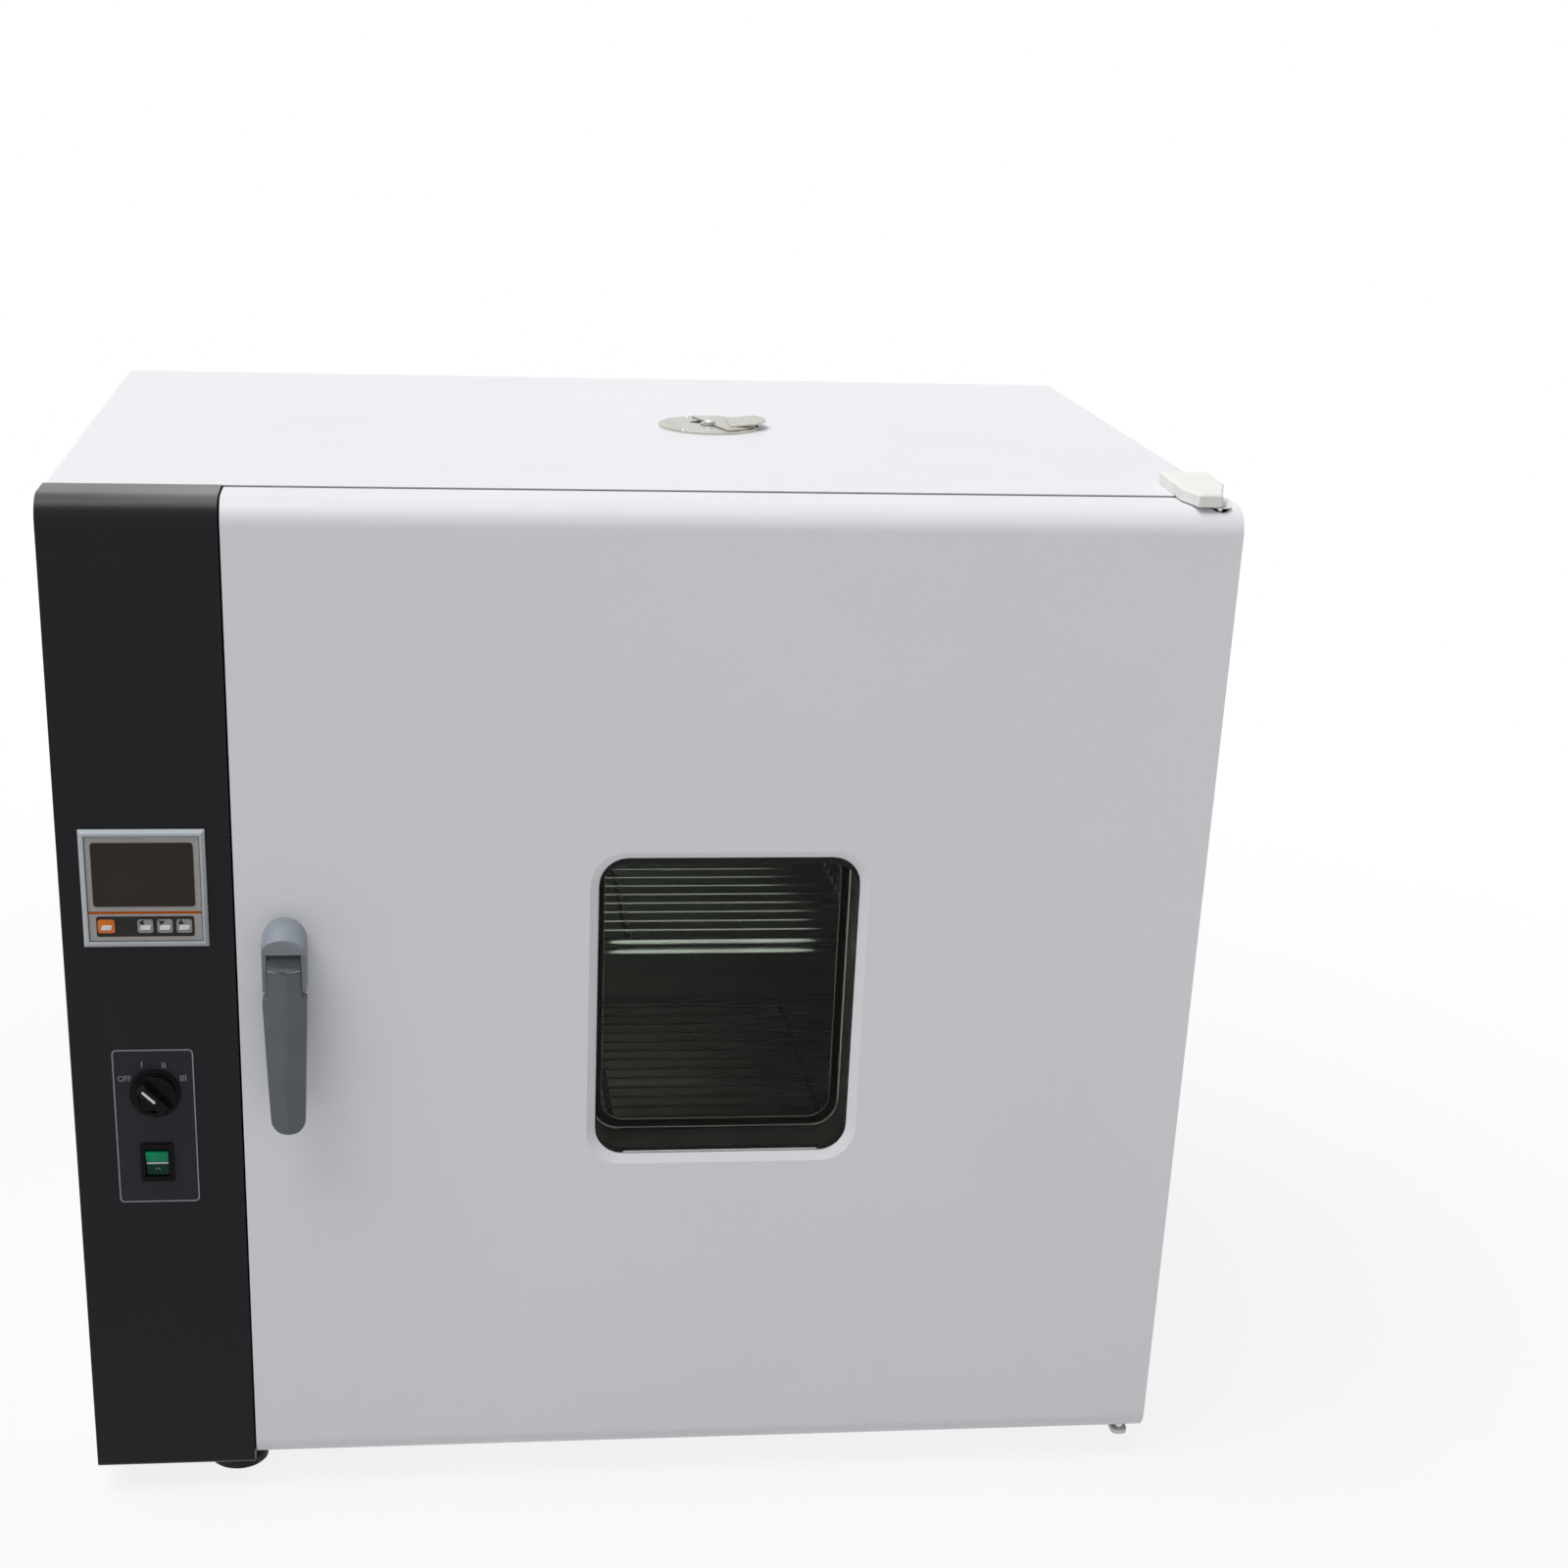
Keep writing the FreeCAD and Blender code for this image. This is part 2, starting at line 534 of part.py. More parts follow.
def controller_case():
    """Panel controller: a bevelled square bezel on a deep case."""
    y = Y_FRONT
    half = CTRL_W / 2
    bezel = box(CTRL_X - half, CTRL_X + half, y - CTRL_PROUD, y, CTRL_Z - half, CTRL_Z + half)
    rim = [e for e in bezel.Edges if e.BoundBox.YMax < y - CTRL_PROUD + 0.01]
    bezel = bezel.makeChamfer(2.5, rim)
    case = centred("y", CTRL_X, CTRL_Z, CTRL_CASE_W, CTRL_CASE_W, 0, y, y + CTRL_DEPTH)
    body = fused([bezel, case])
    return body.cut(box(FACE_X0, FACE_X1, y - CTRL_PROUD - 1, y + 1, FACE_Z0, FACE_Z1))


def controller_face():
    y = Y_FRONT
    face = box(FACE_X0, FACE_X1, y - 3.5, y - 1.0, FACE_Z0, FACE_Z1)
    for x, width in KEYS.values():
        face = face.cut(centred("y", x, KEY_Z, width + 0.6, KEY_H + 0.6, 0, y - 5, y))
    return face


def controller_screen():
    return box(SCREEN_X0, SCREEN_X1, Y_FRONT - 4.2, Y_FRONT - 3.5, SCREEN_Z0, SCREEN_Z1)


def key(x, width):
    cap = centred("y", x, KEY_Z, width, KEY_H, 0, Y_FRONT - 4.6, Y_FRONT - 0.1)
    rim = [e for e in cap.Edges if e.BoundBox.YMax < Y_FRONT - 4.5]
    return cap.makeChamfer(0.5, rim)


def label_plate():
    plate = slab("y", LABEL_X0, LABEL_X1, LABEL_Z0, LABEL_Z1, 4.0, Y_FRONT - LABEL_T, Y_FRONT)
    shaft = rod(5.0, (KNOB_X, Y_FRONT - 5, KNOB_Z), (KNOB_X, Y_FRONT + 5, KNOB_Z))
    body = centred("y", SWITCH_X, SWITCH_Z, SWITCH_W - 2.5, SWITCH_H - 3, 0, Y_FRONT - 5, Y_FRONT + 5)
    return plate.cut(shaft).cut(body)


def fan_switch_body():
    """Square rotary switch behind the panel, with a blind seat for the knob's shaft."""
    body = centred("y", KNOB_X, KNOB_Z, 32, 32, 0, Y_FRONT + 2, Y_FRONT + 28)
    return body.cut(rod(SHAFT_R - 1 + RUN, (KNOB_X, Y_FRONT + 1, KNOB_Z), (KNOB_X, Y_FRONT + 24, KNOB_Z)))


def fan_knob():
    """Pointer knob: a stepped skirt with a narrow grip bar across it."""
    front = Y_FRONT - LABEL_T - 0.5
    skirt = bar("y", KNOB_R, 32, KNOB_X, KNOB_Z, front - 3, front)
    crown = bar("y", KNOB_R - 3, 32, KNOB_X, KNOB_Z, front - 8, front - 3)
    reach = KNOB_R - 4.0
    side = [(front - 4, -reach), (front - 4, reach), (front - 13.5, reach - 0.5), (front - 17, reach - 3.5),
            (front - 17, 3.5 - reach), (front - 13.5, 0.5 - reach)]
    grip = polygon("x", [(y, KNOB_Z + z) for y, z in side], KNOB_X - 4.2, KNOB_X + 4.2)
    grip.rotate(V(KNOB_X, front, KNOB_Z), V(0, 1, 0), KNOB_REST)
    shaft = rod(SHAFT_R - 1, (KNOB_X, front, KNOB_Z), (KNOB_X, Y_FRONT + 20, KNOB_Z))
    return fused([skirt, crown, grip, shaft])


def power_switch_housing():
    y = Y_FRONT - LABEL_T
    bezel = centred("y", SWITCH_X, SWITCH_Z, SWITCH_W, SWITCH_H, 2.0, y - 2.5, y)
    body = centred("y", SWITCH_X, SWITCH_Z, SWITCH_W - 2.5, SWITCH_H - 3, 0, y, y + 22)
    well = centred("y", SWITCH_X, SWITCH_Z, ROCKER_W + 0.8, 24.6, 0, y - 5, y + 12)
    half = ROCKER_W / 2 + 1.5
    seats = rod(ROCKER_PIN_R + RUN, (SWITCH_X - half, ROCKER_Y, SWITCH_Z),
                (SWITCH_X + half, ROCKER_Y, SWITCH_Z))
    return fused([bezel, body]).cut(well).cut(seats)


def power_rocker():
    """Rocker with two faces that meet in a shallow valley, tilted to its OFF side.
    It turns on a stub pin at each side."""
    points = [(-7.0, -11.0), (-5.4, 0.0), (-7.0, 11.0), (0.0, 10.2), (4.5, 3.0), (4.5, -3.0), (0.0, -10.2)]
    half = ROCKER_W / 2
    shape = polygon("x", [(ROCKER_Y + u, SWITCH_Z + v) for u, v in points], SWITCH_X - half, SWITCH_X + half)
    shape.rotate(V(SWITCH_X, ROCKER_Y, SWITCH_Z), V(1, 0, 0), ROCKER_TILT)
    pin = rod(ROCKER_PIN_R, (SWITCH_X - half - 1.4, ROCKER_Y, SWITCH_Z),
              (SWITCH_X + half + 1.4, ROCKER_Y, SWITCH_Z))
    return fused([shape, pin])


def compartment_parts():
    """What hangs on the compartment wall: a relay on its heat sink and the terminals."""
    x = X_WALL
    sink = [box(x - 6, x, 90, 190, 640, 740)]
    sink += [box(x - 30, x - 6, 92 + 12 * i, 94 + 12 * i, 640, 740) for i in range(9)]
    relay = box(x - 30, x, -150, -105, 640, 700)
    block = box(x - 22, x, 100, 220, 120, 148)
    wells = [box(x - 23, x - 14, 104 + 14 * i, 114 + 14 * i, 123, 145) for i in range(8)]
    return {"relay_heat_sink": fused(sink),
            "heater_relay": relay.makeFillet(3.0, [e for e in relay.Edges if e.BoundBox.XMax < x - 29]),
            "terminal_block": block.cut(Part.makeCompound(wells))}


def cable_gland():
    """Mains gland: a tail through the panel, two hexagon nuts and a clamping head."""
    parts = [bar("y", GLAND_TAIL_R, 12, GLAND_X, GLAND_Z, Y_REAR - 6, Y_REAR),
             bar("y", 14.0, 6, GLAND_X, GLAND_Z, Y_REAR, Y_REAR + 5),
             bar("y", 11.5, 6, GLAND_X, GLAND_Z, Y_REAR + 5, Y_REAR + 14),
             bar("y", 8.5, 12, GLAND_X, GLAND_Z, Y_REAR + 14, Y_REAR + GLAND_PROUD)]
    bore = rod(GLAND_BORE, (GLAND_X, Y_REAR - 7, GLAND_Z), (GLAND_X, Y_REAR + GLAND_PROUD + 1, GLAND_Z))
    return fused(parts).cut(bore)


# Door

def door_profile(inset, x0, x1, y_back):
    """The door's side profile, round at its top and bottom front edges."""
    y, z0, z1 = Y_FRONT + inset, Z_DOOR_BASE + inset, Z_DOOR_TOP - inset
    r = EDGE_R - inset
    k = 1 - math.sqrt(0.5)
    edges = [Part.LineSegment(V(x0, y_back, z0), V(x0, y + r, z0)),
             Part.Arc(V(x0, y + r, z0), V(x0, y + r * k, z0 + r * k), V(x0, y, z0 + r)),
             Part.LineSegment(V(x0, y, z0 + r), V(x0, y, z1 - r)),
             Part.Arc(V(x0, y, z1 - r), V(x0, y + r * k, z1 - r * k), V(x0, y + r, z1)),
             Part.LineSegment(V(x0, y + r, z1), V(x0, y_back, z1)),
             Part.LineSegment(V(x0, y_back, z1), V(x0, y_back, z0))]
    return Part.Face(Part.Wire([e.toShape() for e in edges])).extrude(V(x1 - x0, 0, 0))


def window_outline(width, height, r, y):
    return outline("y", WIN_X - width / 2, WIN_X + width / 2, WIN_Z - height / 2, WIN_Z + height / 2, r, y)


def window_slab(width, height, r, y0, y1):
    return centred("y", WIN_X, WIN_Z, width, height, r, y0, y1)


def door_skin():
    """Pressed door pan; the window's edge slopes back from its border to the glass."""
    pan = door_profile(0, X_DOOR, X_RIGHT, Y_DOOR_REAR)
    bend = [e for e in pan.Edges if e.BoundBox.XMin > X_RIGHT - 0.01 and e.BoundBox.YMin > Y_DOOR_REAR - 0.01]
    skin = pan.makeFillet(SHEET, bend)
    skin = skin.cut(door_profile(SHEET, X_DOOR + SHEET, X_RIGHT - SHEET, Y_DOOR_REAR + 1))
    rim = window_slab(BORDER_W + 6, BORDER_H + 6, BORDER_R + 3, Y_FRONT + 0.5, Y_FRONT + BORDER_D)
    funnel = Part.makeLoft([window_outline(BORDER_W, BORDER_H, BORDER_R, Y_FRONT),
                            window_outline(GLASS_W, GLASS_H, GLASS_R, Y_FRONT + BORDER_D)], True, True)
    skin = fused([skin, rim])
    skin = skin.cut(funnel)
    slots = [rod(BUSH_R + 0.7, (HINGE_X, HINGE_Y, z), (HINGE_X, HINGE_Y, z + 15))
             for z in (Z_DOOR_BASE - 1, Z_DOOR_TOP - 14)]
    slots.append(box(HANDLE_X - 7, HANDLE_X + 7, Y_FRONT - 1, Y_FRONT + 5, PIVOT_Z - 16, PIVOT_Z + 13))
    return skin.cut(Part.makeCompound(slots))


def door_inner_panel():
    plate = box(X_DOOR + SHEET, X_RIGHT - SHEET, Y_DOOR_REAR - SHEET, Y_DOOR_REAR,
                Z_DOOR_BASE + SHEET, Z_DOOR_TOP - SHEET)
    plate = plate.cut(window_slab(INNER_VIEW_W, INNER_VIEW_H, 18.0, Y_DOOR_REAR - 5, Y_DOOR_REAR + 1))
    return plate.cut(box(HANDLE_X - 13, HANDLE_X + 13, Y_DOOR_REAR - 5, Y_DOOR_REAR + 1, 455, 528))


def door_insulation():
    block = box(HANDLE_X + 24, HINGE_X - 14, Y_FRONT + 21, Y_DOOR_REAR - SHEET, 62, 828)
    return block.cut(window_slab(GLASS_W + 3, GLASS_H + 3, GLASS_R + 1.5, Y_FRONT, Y_DOOR_REAR))


def window_tunnel():
    half_w, half_h = GLASS_W / 2, GLASS_H / 2
    return ring("y", WIN_X - half_w, WIN_X + half_w, WIN_Z - half_h, WIN_Z + half_h, GLASS_R, SHEET,
                Y_FRONT + BORDER_D, Y_DOOR_REAR - SHEET)


def door_gasket():
    """Silicone ring with a rounded crown, squeezed between the door and the frame."""
    margin, width = 3.0, 9.0
    seal = ring("y", OPEN_X0 - margin, OPEN_X1 + margin, OPEN_Z0 - margin, OPEN_Z1 + margin,
                OPEN_R + margin, width, Y_DOOR_REAR, Y_DOOR_REAR + DOOR_GAP - 0.5)
    rim = [e for e in seal.Edges if e.BoundBox.YMin > Y_DOOR_REAR + DOOR_GAP - 0.6]
    return seal.makeChamfer(1.6, rim)


def hood_outline(inset, drop, y):
    """Outline of the handle mount in fourteen flats round its top, which is lowered by drop."""
    half = HANDLE_W / 2 - inset
    spring = HANDLE_TOP - HANDLE_W / 2
    rise = HANDLE_W / 2 - drop
    turns = [math.pi * i / 14 for i in range(15)]
    points = [V(HANDLE_X + half * math.cos(t), y, spring + rise * math.sin(t)) for t in turns]
    points += [V(HANDLE_X - half, y, CHEEK_END), V(HANDLE_X + half, y, CHEEK_END), points[0]]
    return Part.makePolygon(points)


def handle_base():
    """Die-cast handle mount: a hood with an arched front facet over two cheeks and a back plate."""
    x0, x1 = HANDLE_X - HANDLE_W / 2, HANDLE_X + HANDLE_W / 2
    front, low = Y_FRONT - 31.0, CHEEK_END
    shoulder = front + 12.0
    body = Part.Face(hood_outline(0, 0, Y_FRONT)).extrude(V(0, shoulder - Y_FRONT, 0))
    crown = Part.makeLoft([hood_outline(0, 0, shoulder), hood_outline(0.8, 8.0, front)], True, True)
    channel = box(x0 + CHEEK_T, x1 - CHEEK_T, front - 1, Y_FRONT - 4, low - 1, HOOD_Z)
    cheeks_low = box(x0 - 1, x1 + 1, front - 1, front + 4.5, low - 1, HOOD_Z)
    slot = box(HANDLE_X - 7, HANDLE_X + 7, Y_FRONT - 6, Y_FRONT + 1, PIVOT_Z - 14, PIVOT_Z + 12)
    bore = rod(PIVOT_R, (x0 + 1.5, PIVOT_Y, PIVOT_Z), (x1 - 1.5, PIVOT_Y, PIVOT_Z))
    return fused([body, crown]).cut(channel).cut(cheeks_low).cut(slot).cut(bore)


def handle_lever():
    """Pull lever: three profiles meet in one form, a tapered outline seen from the
    front, a bowed side profile and a shallow roof section with its ridge forward."""
    x0, x1 = HANDLE_X - HANDLE_W / 2, HANDLE_X + HANDLE_W / 2
    neck0, neck1 = x0 + CHEEK_T + 0.4, x1 - CHEEK_T - 0.4
    wide = CHEEK_END - 6.0
    end_r, end_x = 13.6, HANDLE_X + 0.4
    z_end = HANDLE_LOW + end_r
    top = PIVOT_Z + NECK_R + 1
    points = [V(x, Y_FRONT, z) for x, z in
              ((end_x + end_r, z_end), (x1, wide), (neck1, wide + 3), (neck1, top), (neck0, top),
               (neck0, wide + 3), (x0, wide), (end_x - end_r, z_end))]
    edges = [Part.LineSegment(a, b) for a, b in zip(points, points[1:])]
    edges.append(Part.Arc(points[-1], V(end_x, Y_FRONT, HANDLE_LOW), points[0]))
    front = Part.Face(Part.Wire([e.toShape() for e in edges])).extrude(V(0, -80, 0))
    y_tip = Y_FRONT - HANDLE_PROUD
    y_head = y_tip + 0.5 + (PIVOT_Z - HANDLE_LOW - 51) * math.tan(math.radians(HEAD_LEAN))
    barrel = [(PIVOT_Y - NECK_R * math.cos(math.radians(a)), PIVOT_Z + NECK_R * math.sin(math.radians(a)))
              for a in range(10, 112, 20)]
    side = barrel + [(PIVOT_Y + 5, PIVOT_Z + 10), (PIVOT_Y + 5, PIVOT_Z - 8), (PIVOT_Y - 3, wide - 6),
                     (y_tip + 13, HANDLE_LOW + 30), (y_tip + 9, HANDLE_LOW), (y_tip + 3, HANDLE_LOW),
                     (y_tip, HANDLE_LOW + 8), (y_tip + 0.5, HANDLE_LOW + 50), (y_head, PIVOT_Z - 1)]
    profile = polygon("x", side, x0 - 1, x1 + 1)
    roof = [(HANDLE_X, y_tip), (x1 + 2, y_tip + 5.0), (x1 + 2, Y_FRONT - 3), (x0 - 2, Y_FRONT - 3),
            (x0 - 2, y_tip + 5.0)]
    ridge = polygon("z", roof, HANDLE_LOW - 30, PIVOT_Z + 30)
    leaning = ridge.copy()
    leaning.rotate(V(HANDLE_X, y_tip + 0.5, HANDLE_LOW + 50), V(1, 0, 0), -HEAD_LEAN)
    lever = front.common(profile).common(ridge).common(leaning)
    return lever.cut(rod(PIVOT_R + RUN, (x0, PIVOT_Y, PIVOT_Z), (x1, PIVOT_Y, PIVOT_Z)))


def latch_hook():
    """Latch arm behind the lever: it reaches through the door below the striker bar."""
    back = PIVOT_Y + 5
    points = [(back, PIVOT_Z + 7), (back, PIVOT_Z - 8), (back + 6, PIVOT_Z - 3), (BAR_Y + 9.5, PIVOT_Z + 1),
              (BAR_Y + 9.5, BAR_Z - BAR_R - 1.5), (BAR_Y + 4.5, BAR_Z - BAR_R - 1.0),
              (BAR_Y + 4.5, PIVOT_Z + 9), (back + 12, PIVOT_Z + 6)]
    return polygon("x", points, HANDLE_X - 5, HANDLE_X + 5)


def latch_striker():
    """Striker: a screwed plate with two ears that hold a bar."""
    z0, z1 = 470.0, 534.0
    plate = box(HANDLE_X - 10.5, HANDLE_X + 10.5, Y_FRAME - 2, Y_FRAME, z0, z1)
    ears = [box(x, x + 2.2, BAR_Y - 6, Y_FRAME - 1, BAR_Z - 7, BAR_Z + 7)
            for x in (HANDLE_X - 10.3, HANDLE_X + 8.1)]
    catch = rod(BAR_R, (HANDLE_X - 9, BAR_Y, BAR_Z), (HANDLE_X + 9, BAR_Y, BAR_Z))
    return fused([plate, catch] + ears)


# Hinges

def hinge_parts():
    """Both hinges: a plate on the cabinet, a pin, a plastic cap on top and the door's bush."""
    out = {}
    arm = [(-39.0, -272.5), (-34.5, -298.0), (-16.0, -298.0), (-11.6, -292.0), (-9.0, -270.0),
           (-4.2, -252.0), (-2.0, -208.0), (-37.0, -206.0)]
    top = polygon("z", [(X_RIGHT + x, y) for x, y in arm], Z_TOP, Z_TOP + PLATE_T)
    out["hinge_plate_top"] = top
    out["hinge_plate_bottom"] = slab("z", HINGE_X - 7.0, HINGE_X + 7.0, HINGE_Y - 6.5, Y_FRAME + 45.0, 6.0,
                                     Z_BASE - PLATE_T, Z_BASE)
    pins = [rod(PIN_R, (HINGE_X, HINGE_Y, z), (HINGE_X, HINGE_Y, z + 22)) for z in (Z_TOP - 22, Z_BASE)]
    out["hinge_pins"] = Part.makeCompound(pins)
    bushes = []
    for z in (Z_DOOR_TOP - 26, Z_DOOR_BASE + 4):
        bush = bar("z", BUSH_R, 8, HINGE_X, HINGE_Y, z, z + 22)
        bushes.append(bush.cut(rod(PIN_R + RUN, (HINGE_X, HINGE_Y, z - 1), (HINGE_X, HINGE_Y, z + 23))))
    out["hinge_bushes"] = Part.makeCompound(bushes)
    cap = [(-42.4, -274.0), (-36.0, -301.0), (-17.7, -300.4), (-2.2, -253.0), (0.0, -205.0), (-39.4, -203.0)]
    cover = polygon("z", [(X_RIGHT + x, y) for x, y in cap], Z_TOP, Z_TOP + 10.0)
    rim = [e for e in cover.Edges if e.BoundBox.ZMin > Z_TOP + 9.9]
    out["hinge_cap_top"] = cover.makeChamfer(1.5, rim).cut(top)
    return out


def main():
    os.makedirs("parts", exist_ok=True)
    nodes = {"outer_wrapper": outer_wrapper(), "base_pan": base_pan(), "front_frame": front_frame(),
             "rear_panel": rear_panel(), "chamber_liner": chamber_liner(),
             "compartment_wall": compartment_wall(), "duct_panel": duct_panel(),
             "floor_plate": floor_plate(), "heater_elements": heater_elements(),
             "fan_wheel": fan_wheel(), "fan_motor": fan_motor(), "temperature_probe": probe(),
             "vent_plate": vent_plate(), "vent_damper": vent_damper(), "vent_tube": vent_tube(),
             "vent_screw": vent_screw(), "control_column": control_column(),
             "controller_case": controller_case(), "controller_face": controller_face(),
             "controller_screen": controller_screen(), "label_plate": label_plate(),
             "fan_switch_body": fan_switch_body(), "fan_knob": fan_knob(),
             "power_switch_housing": power_switch_housing(), "power_rocker": power_rocker(),
             "cable_gland": cable_gland(), "door_skin": door_skin(),
             "door_inner_panel": door_inner_panel(), "door_insulation": door_insulation(),
             "window_tunnel": window_tunnel(), "door_gasket": door_gasket(),
             "handle_base": handle_base(), "handle_lever": handle_lever(), "latch_hook": latch_hook(),
             "latch_striker": latch_striker()}
    nodes["fan_shaft"] = rod(SHAFT_R, (X_WALL - 20, FAN_Y, FAN_Z), (OPEN_X0 + 32, FAN_Y, FAN_Z))
    nodes["window_pane_outer"] = window_slab(GLASS_W, GLASS_H, GLASS_R, Y_FRONT + BORDER_D,
                                             Y_FRONT + BORDER_D + PANE_T)
    nodes["window_pane_inner"] = window_slab(GLASS_W, GLASS_H, GLASS_R, Y_DOOR_REAR - SHEET - PANE_T,
                                             Y_DOOR_REAR - SHEET)
    nodes["handle_pin"] = rod(PIVOT_R, (HANDLE_X - HANDLE_W / 2 + 1.5, PIVOT_Y, PIVOT_Z),
                              (HANDLE_X + HANDLE_W / 2 - 1.5, PIVOT_Y, PIVOT_Z))
    nodes["insulation_slabs"] = insulation()
    nodes.update(compartment_parts())
    nodes.update(hinge_parts())
    for name, (x, width) in KEYS.items():
        nodes[name] = key(x, width)
    for name, tab in SHELF_TABS.items():
        nodes[name] = shelf(tab)
    nodes["rubber_feet"] = Part.makeCompound([foot(x, y) for x, y in FEET])
    rails = []
    for wall_x, inward in ((X_DUCT, 1), (OPEN_X1, -1)):
        rails += [rail(wall_x, inward, y0) for y0 in (Y_DUCT + 14, Y_CHAMBER - RAIL_W - 14)]
    nodes["shelf_rails"] = Part.makeCompound(rails)
    for name, shape in nodes.items():
        write(name, shape)
    print(len(nodes), "nodes")


main()
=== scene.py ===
import json
import math

import bmesh
import bpy
from mathutils import Matrix, Vector
from mathutils.bvhtree import BVHTree


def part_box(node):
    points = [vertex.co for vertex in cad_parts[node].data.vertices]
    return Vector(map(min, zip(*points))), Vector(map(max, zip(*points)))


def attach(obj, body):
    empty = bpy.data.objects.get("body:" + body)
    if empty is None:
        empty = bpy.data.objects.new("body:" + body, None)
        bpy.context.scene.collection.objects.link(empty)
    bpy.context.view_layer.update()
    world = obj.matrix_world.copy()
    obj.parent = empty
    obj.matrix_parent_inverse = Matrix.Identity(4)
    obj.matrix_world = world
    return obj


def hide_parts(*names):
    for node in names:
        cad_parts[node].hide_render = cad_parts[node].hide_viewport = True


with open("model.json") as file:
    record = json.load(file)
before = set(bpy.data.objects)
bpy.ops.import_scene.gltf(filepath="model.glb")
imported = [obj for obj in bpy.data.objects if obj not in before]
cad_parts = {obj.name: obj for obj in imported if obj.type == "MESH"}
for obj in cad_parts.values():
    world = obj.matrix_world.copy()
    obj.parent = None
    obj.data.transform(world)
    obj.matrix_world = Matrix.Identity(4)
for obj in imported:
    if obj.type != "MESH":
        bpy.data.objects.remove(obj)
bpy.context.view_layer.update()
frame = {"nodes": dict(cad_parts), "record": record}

MM = 0.001

# The photograph's view: place in metres, turns in degrees, lens and sensor in millimetres, and the
# shift as shares of the sensor
CAMERA_PLACE = (-0.1715, -2.1256, 1.2038)
CAMERA_YAW = -6.622
CAMERA_DOWN = 21.589
CAMERA_ROLL = 1.899
CAMERA_LENS = 56.23
CAMERA_SENSOR = 36.0
CAMERA_SHIFT = (0.0581, 0.1157)


def add_to_scene(made):
    """Links a new object to the scene and gives it back."""
    bpy.context.scene.collection.objects.link(made)
    return made


def make_camera():
    data = bpy.data.cameras.new("camera")
    data.lens = CAMERA_LENS
    data.sensor_width = CAMERA_SENSOR
    data.shift_x, data.shift_y = CAMERA_SHIFT
    camera = add_to_scene(bpy.data.objects.new("camera", data))
    turn = Matrix.Rotation(math.radians(CAMERA_YAW), 4, "Z")
    tilt = Matrix.Rotation(math.radians(90 - CAMERA_DOWN), 4, "X")
    roll = Matrix.Rotation(math.radians(CAMERA_ROLL), 4, "Z")
    camera.matrix_world = Matrix.Translation(CAMERA_PLACE) @ turn @ tilt @ roll
    bpy.context.scene.camera = camera


make_camera()

# Each node's finish and body, from the record
SLOTS = {row["node"]: row["material_slot"] for row in frame["record"]["subparts"]}
BODIES = frame["record"]["behaviour"]["bodies"]
BODY_OF = {node: body for body, nodes in BODIES.items() for node in nodes}
CABINET = "cabinet"

# Where things stand, in millimetres: X to the right, Y to the rear, Z up. Flat pieces on the front
# are (left, right, foot, top).
Y_FRONT = -307.5
Y_REAR = 325.5
OPENING_RIGHT, OPENING_TOP = 393.0, 790.0
DUCT_X = -206.0
HANDLE_X = -283.8
KNOB_X, KNOB_Z = -390.0, 374.5
SWITCH_X, SWITCH_Z = -391.2, 313.2
LABEL = (-423.0, -358.6, 276.8, 412.5)
LABEL_Y = -308.3
FACE = (-433.6, -346.2, 505.5, 592.0)
FACE_Y = -311.0
FACE_LINE = (-433.1, -346.7, 528.4, 530.4)
SCREEN = (-429.0, -351.3, 534.5, 586.5)
KEY_FIELD = (-427.6, -352.6, 509.6, 526.4)
KEYS = {"key_set": (-420.0, 13.0), "key_left": (-390.2, 12.0), "key_down": (-375.2, 12.0),
        "key_up": (-360.4, 12.0)}
KEY_Z, KEY_H = 518.3, 11.0
VENT_X, VENT_Y, VENT_Z = 79.0, 44.0, 851.0
FEET = ((-340.6, -253.5), (340.0, -216.0), (-340.6, 256.0), (340.0, 256.0))
GLAND_X, GLAND_Z = -387.0, 90.0
HINGE_PIN = (438.5, -291.5)
DOOR_TOP = 850.0
WINDOW_BAND_OUTER = (-36.6, 172.6, 311.5, 570.0)
WINDOW_BAND_INNER = (-35.8, 171.8, 314.6, 564.4)

# The shelves' bars and deck wires
ROD_R, POST_R, WIRE_R = 3.0, 2.2, 1.25
WIRE_PITCH, WIRE_COUNT, FIRST_WIRE, WIRE_END_GAP = 22.0, 19, 15.0, 0.5
FRONT_BAR_DROP, FRONT_BAR_END, POST_END = 9.0, 20.0, 24.0

# Socket types of the node groups
FLOAT, VECTOR, WHOLE = "NodeSocketFloat", "NodeSocketVector", "NodeSocketInt"
FINISH, FORM = "NodeSocketMaterial", "NodeSocketGeometry"

# Shared by the finishes: the span in which the noise mostly lies, the sharpness at which an edge
# starts to show wear and painted highlight and shows them fully, the tone of the dusting and painted
# sheen on upward faces, and how much finer the gloss varies than the tone
NOISE_SPAN = (0.32, 0.68)
WEAR_AND_HIGHLIGHT_SPAN = (0.53, 0.6)
DUST_AND_SHEEN_TONE = (0.75, 0.73, 0.7)
GLOSS_FINER = 3.1


# Node tools

def put(tree, kind, inputs=None, **settings):
    """Adds a node. inputs maps a socket's name or number to a value or another node's output."""
    made = tree.nodes.new(kind)
    for key, value in settings.items():
        setattr(made, key, value)
    for key, value in (inputs or {}).items():
        if isinstance(value, bpy.types.NodeSocket):
            tree.links.new(value, made.inputs[key])
        else:
            made.inputs[key].default_value = value
    return made


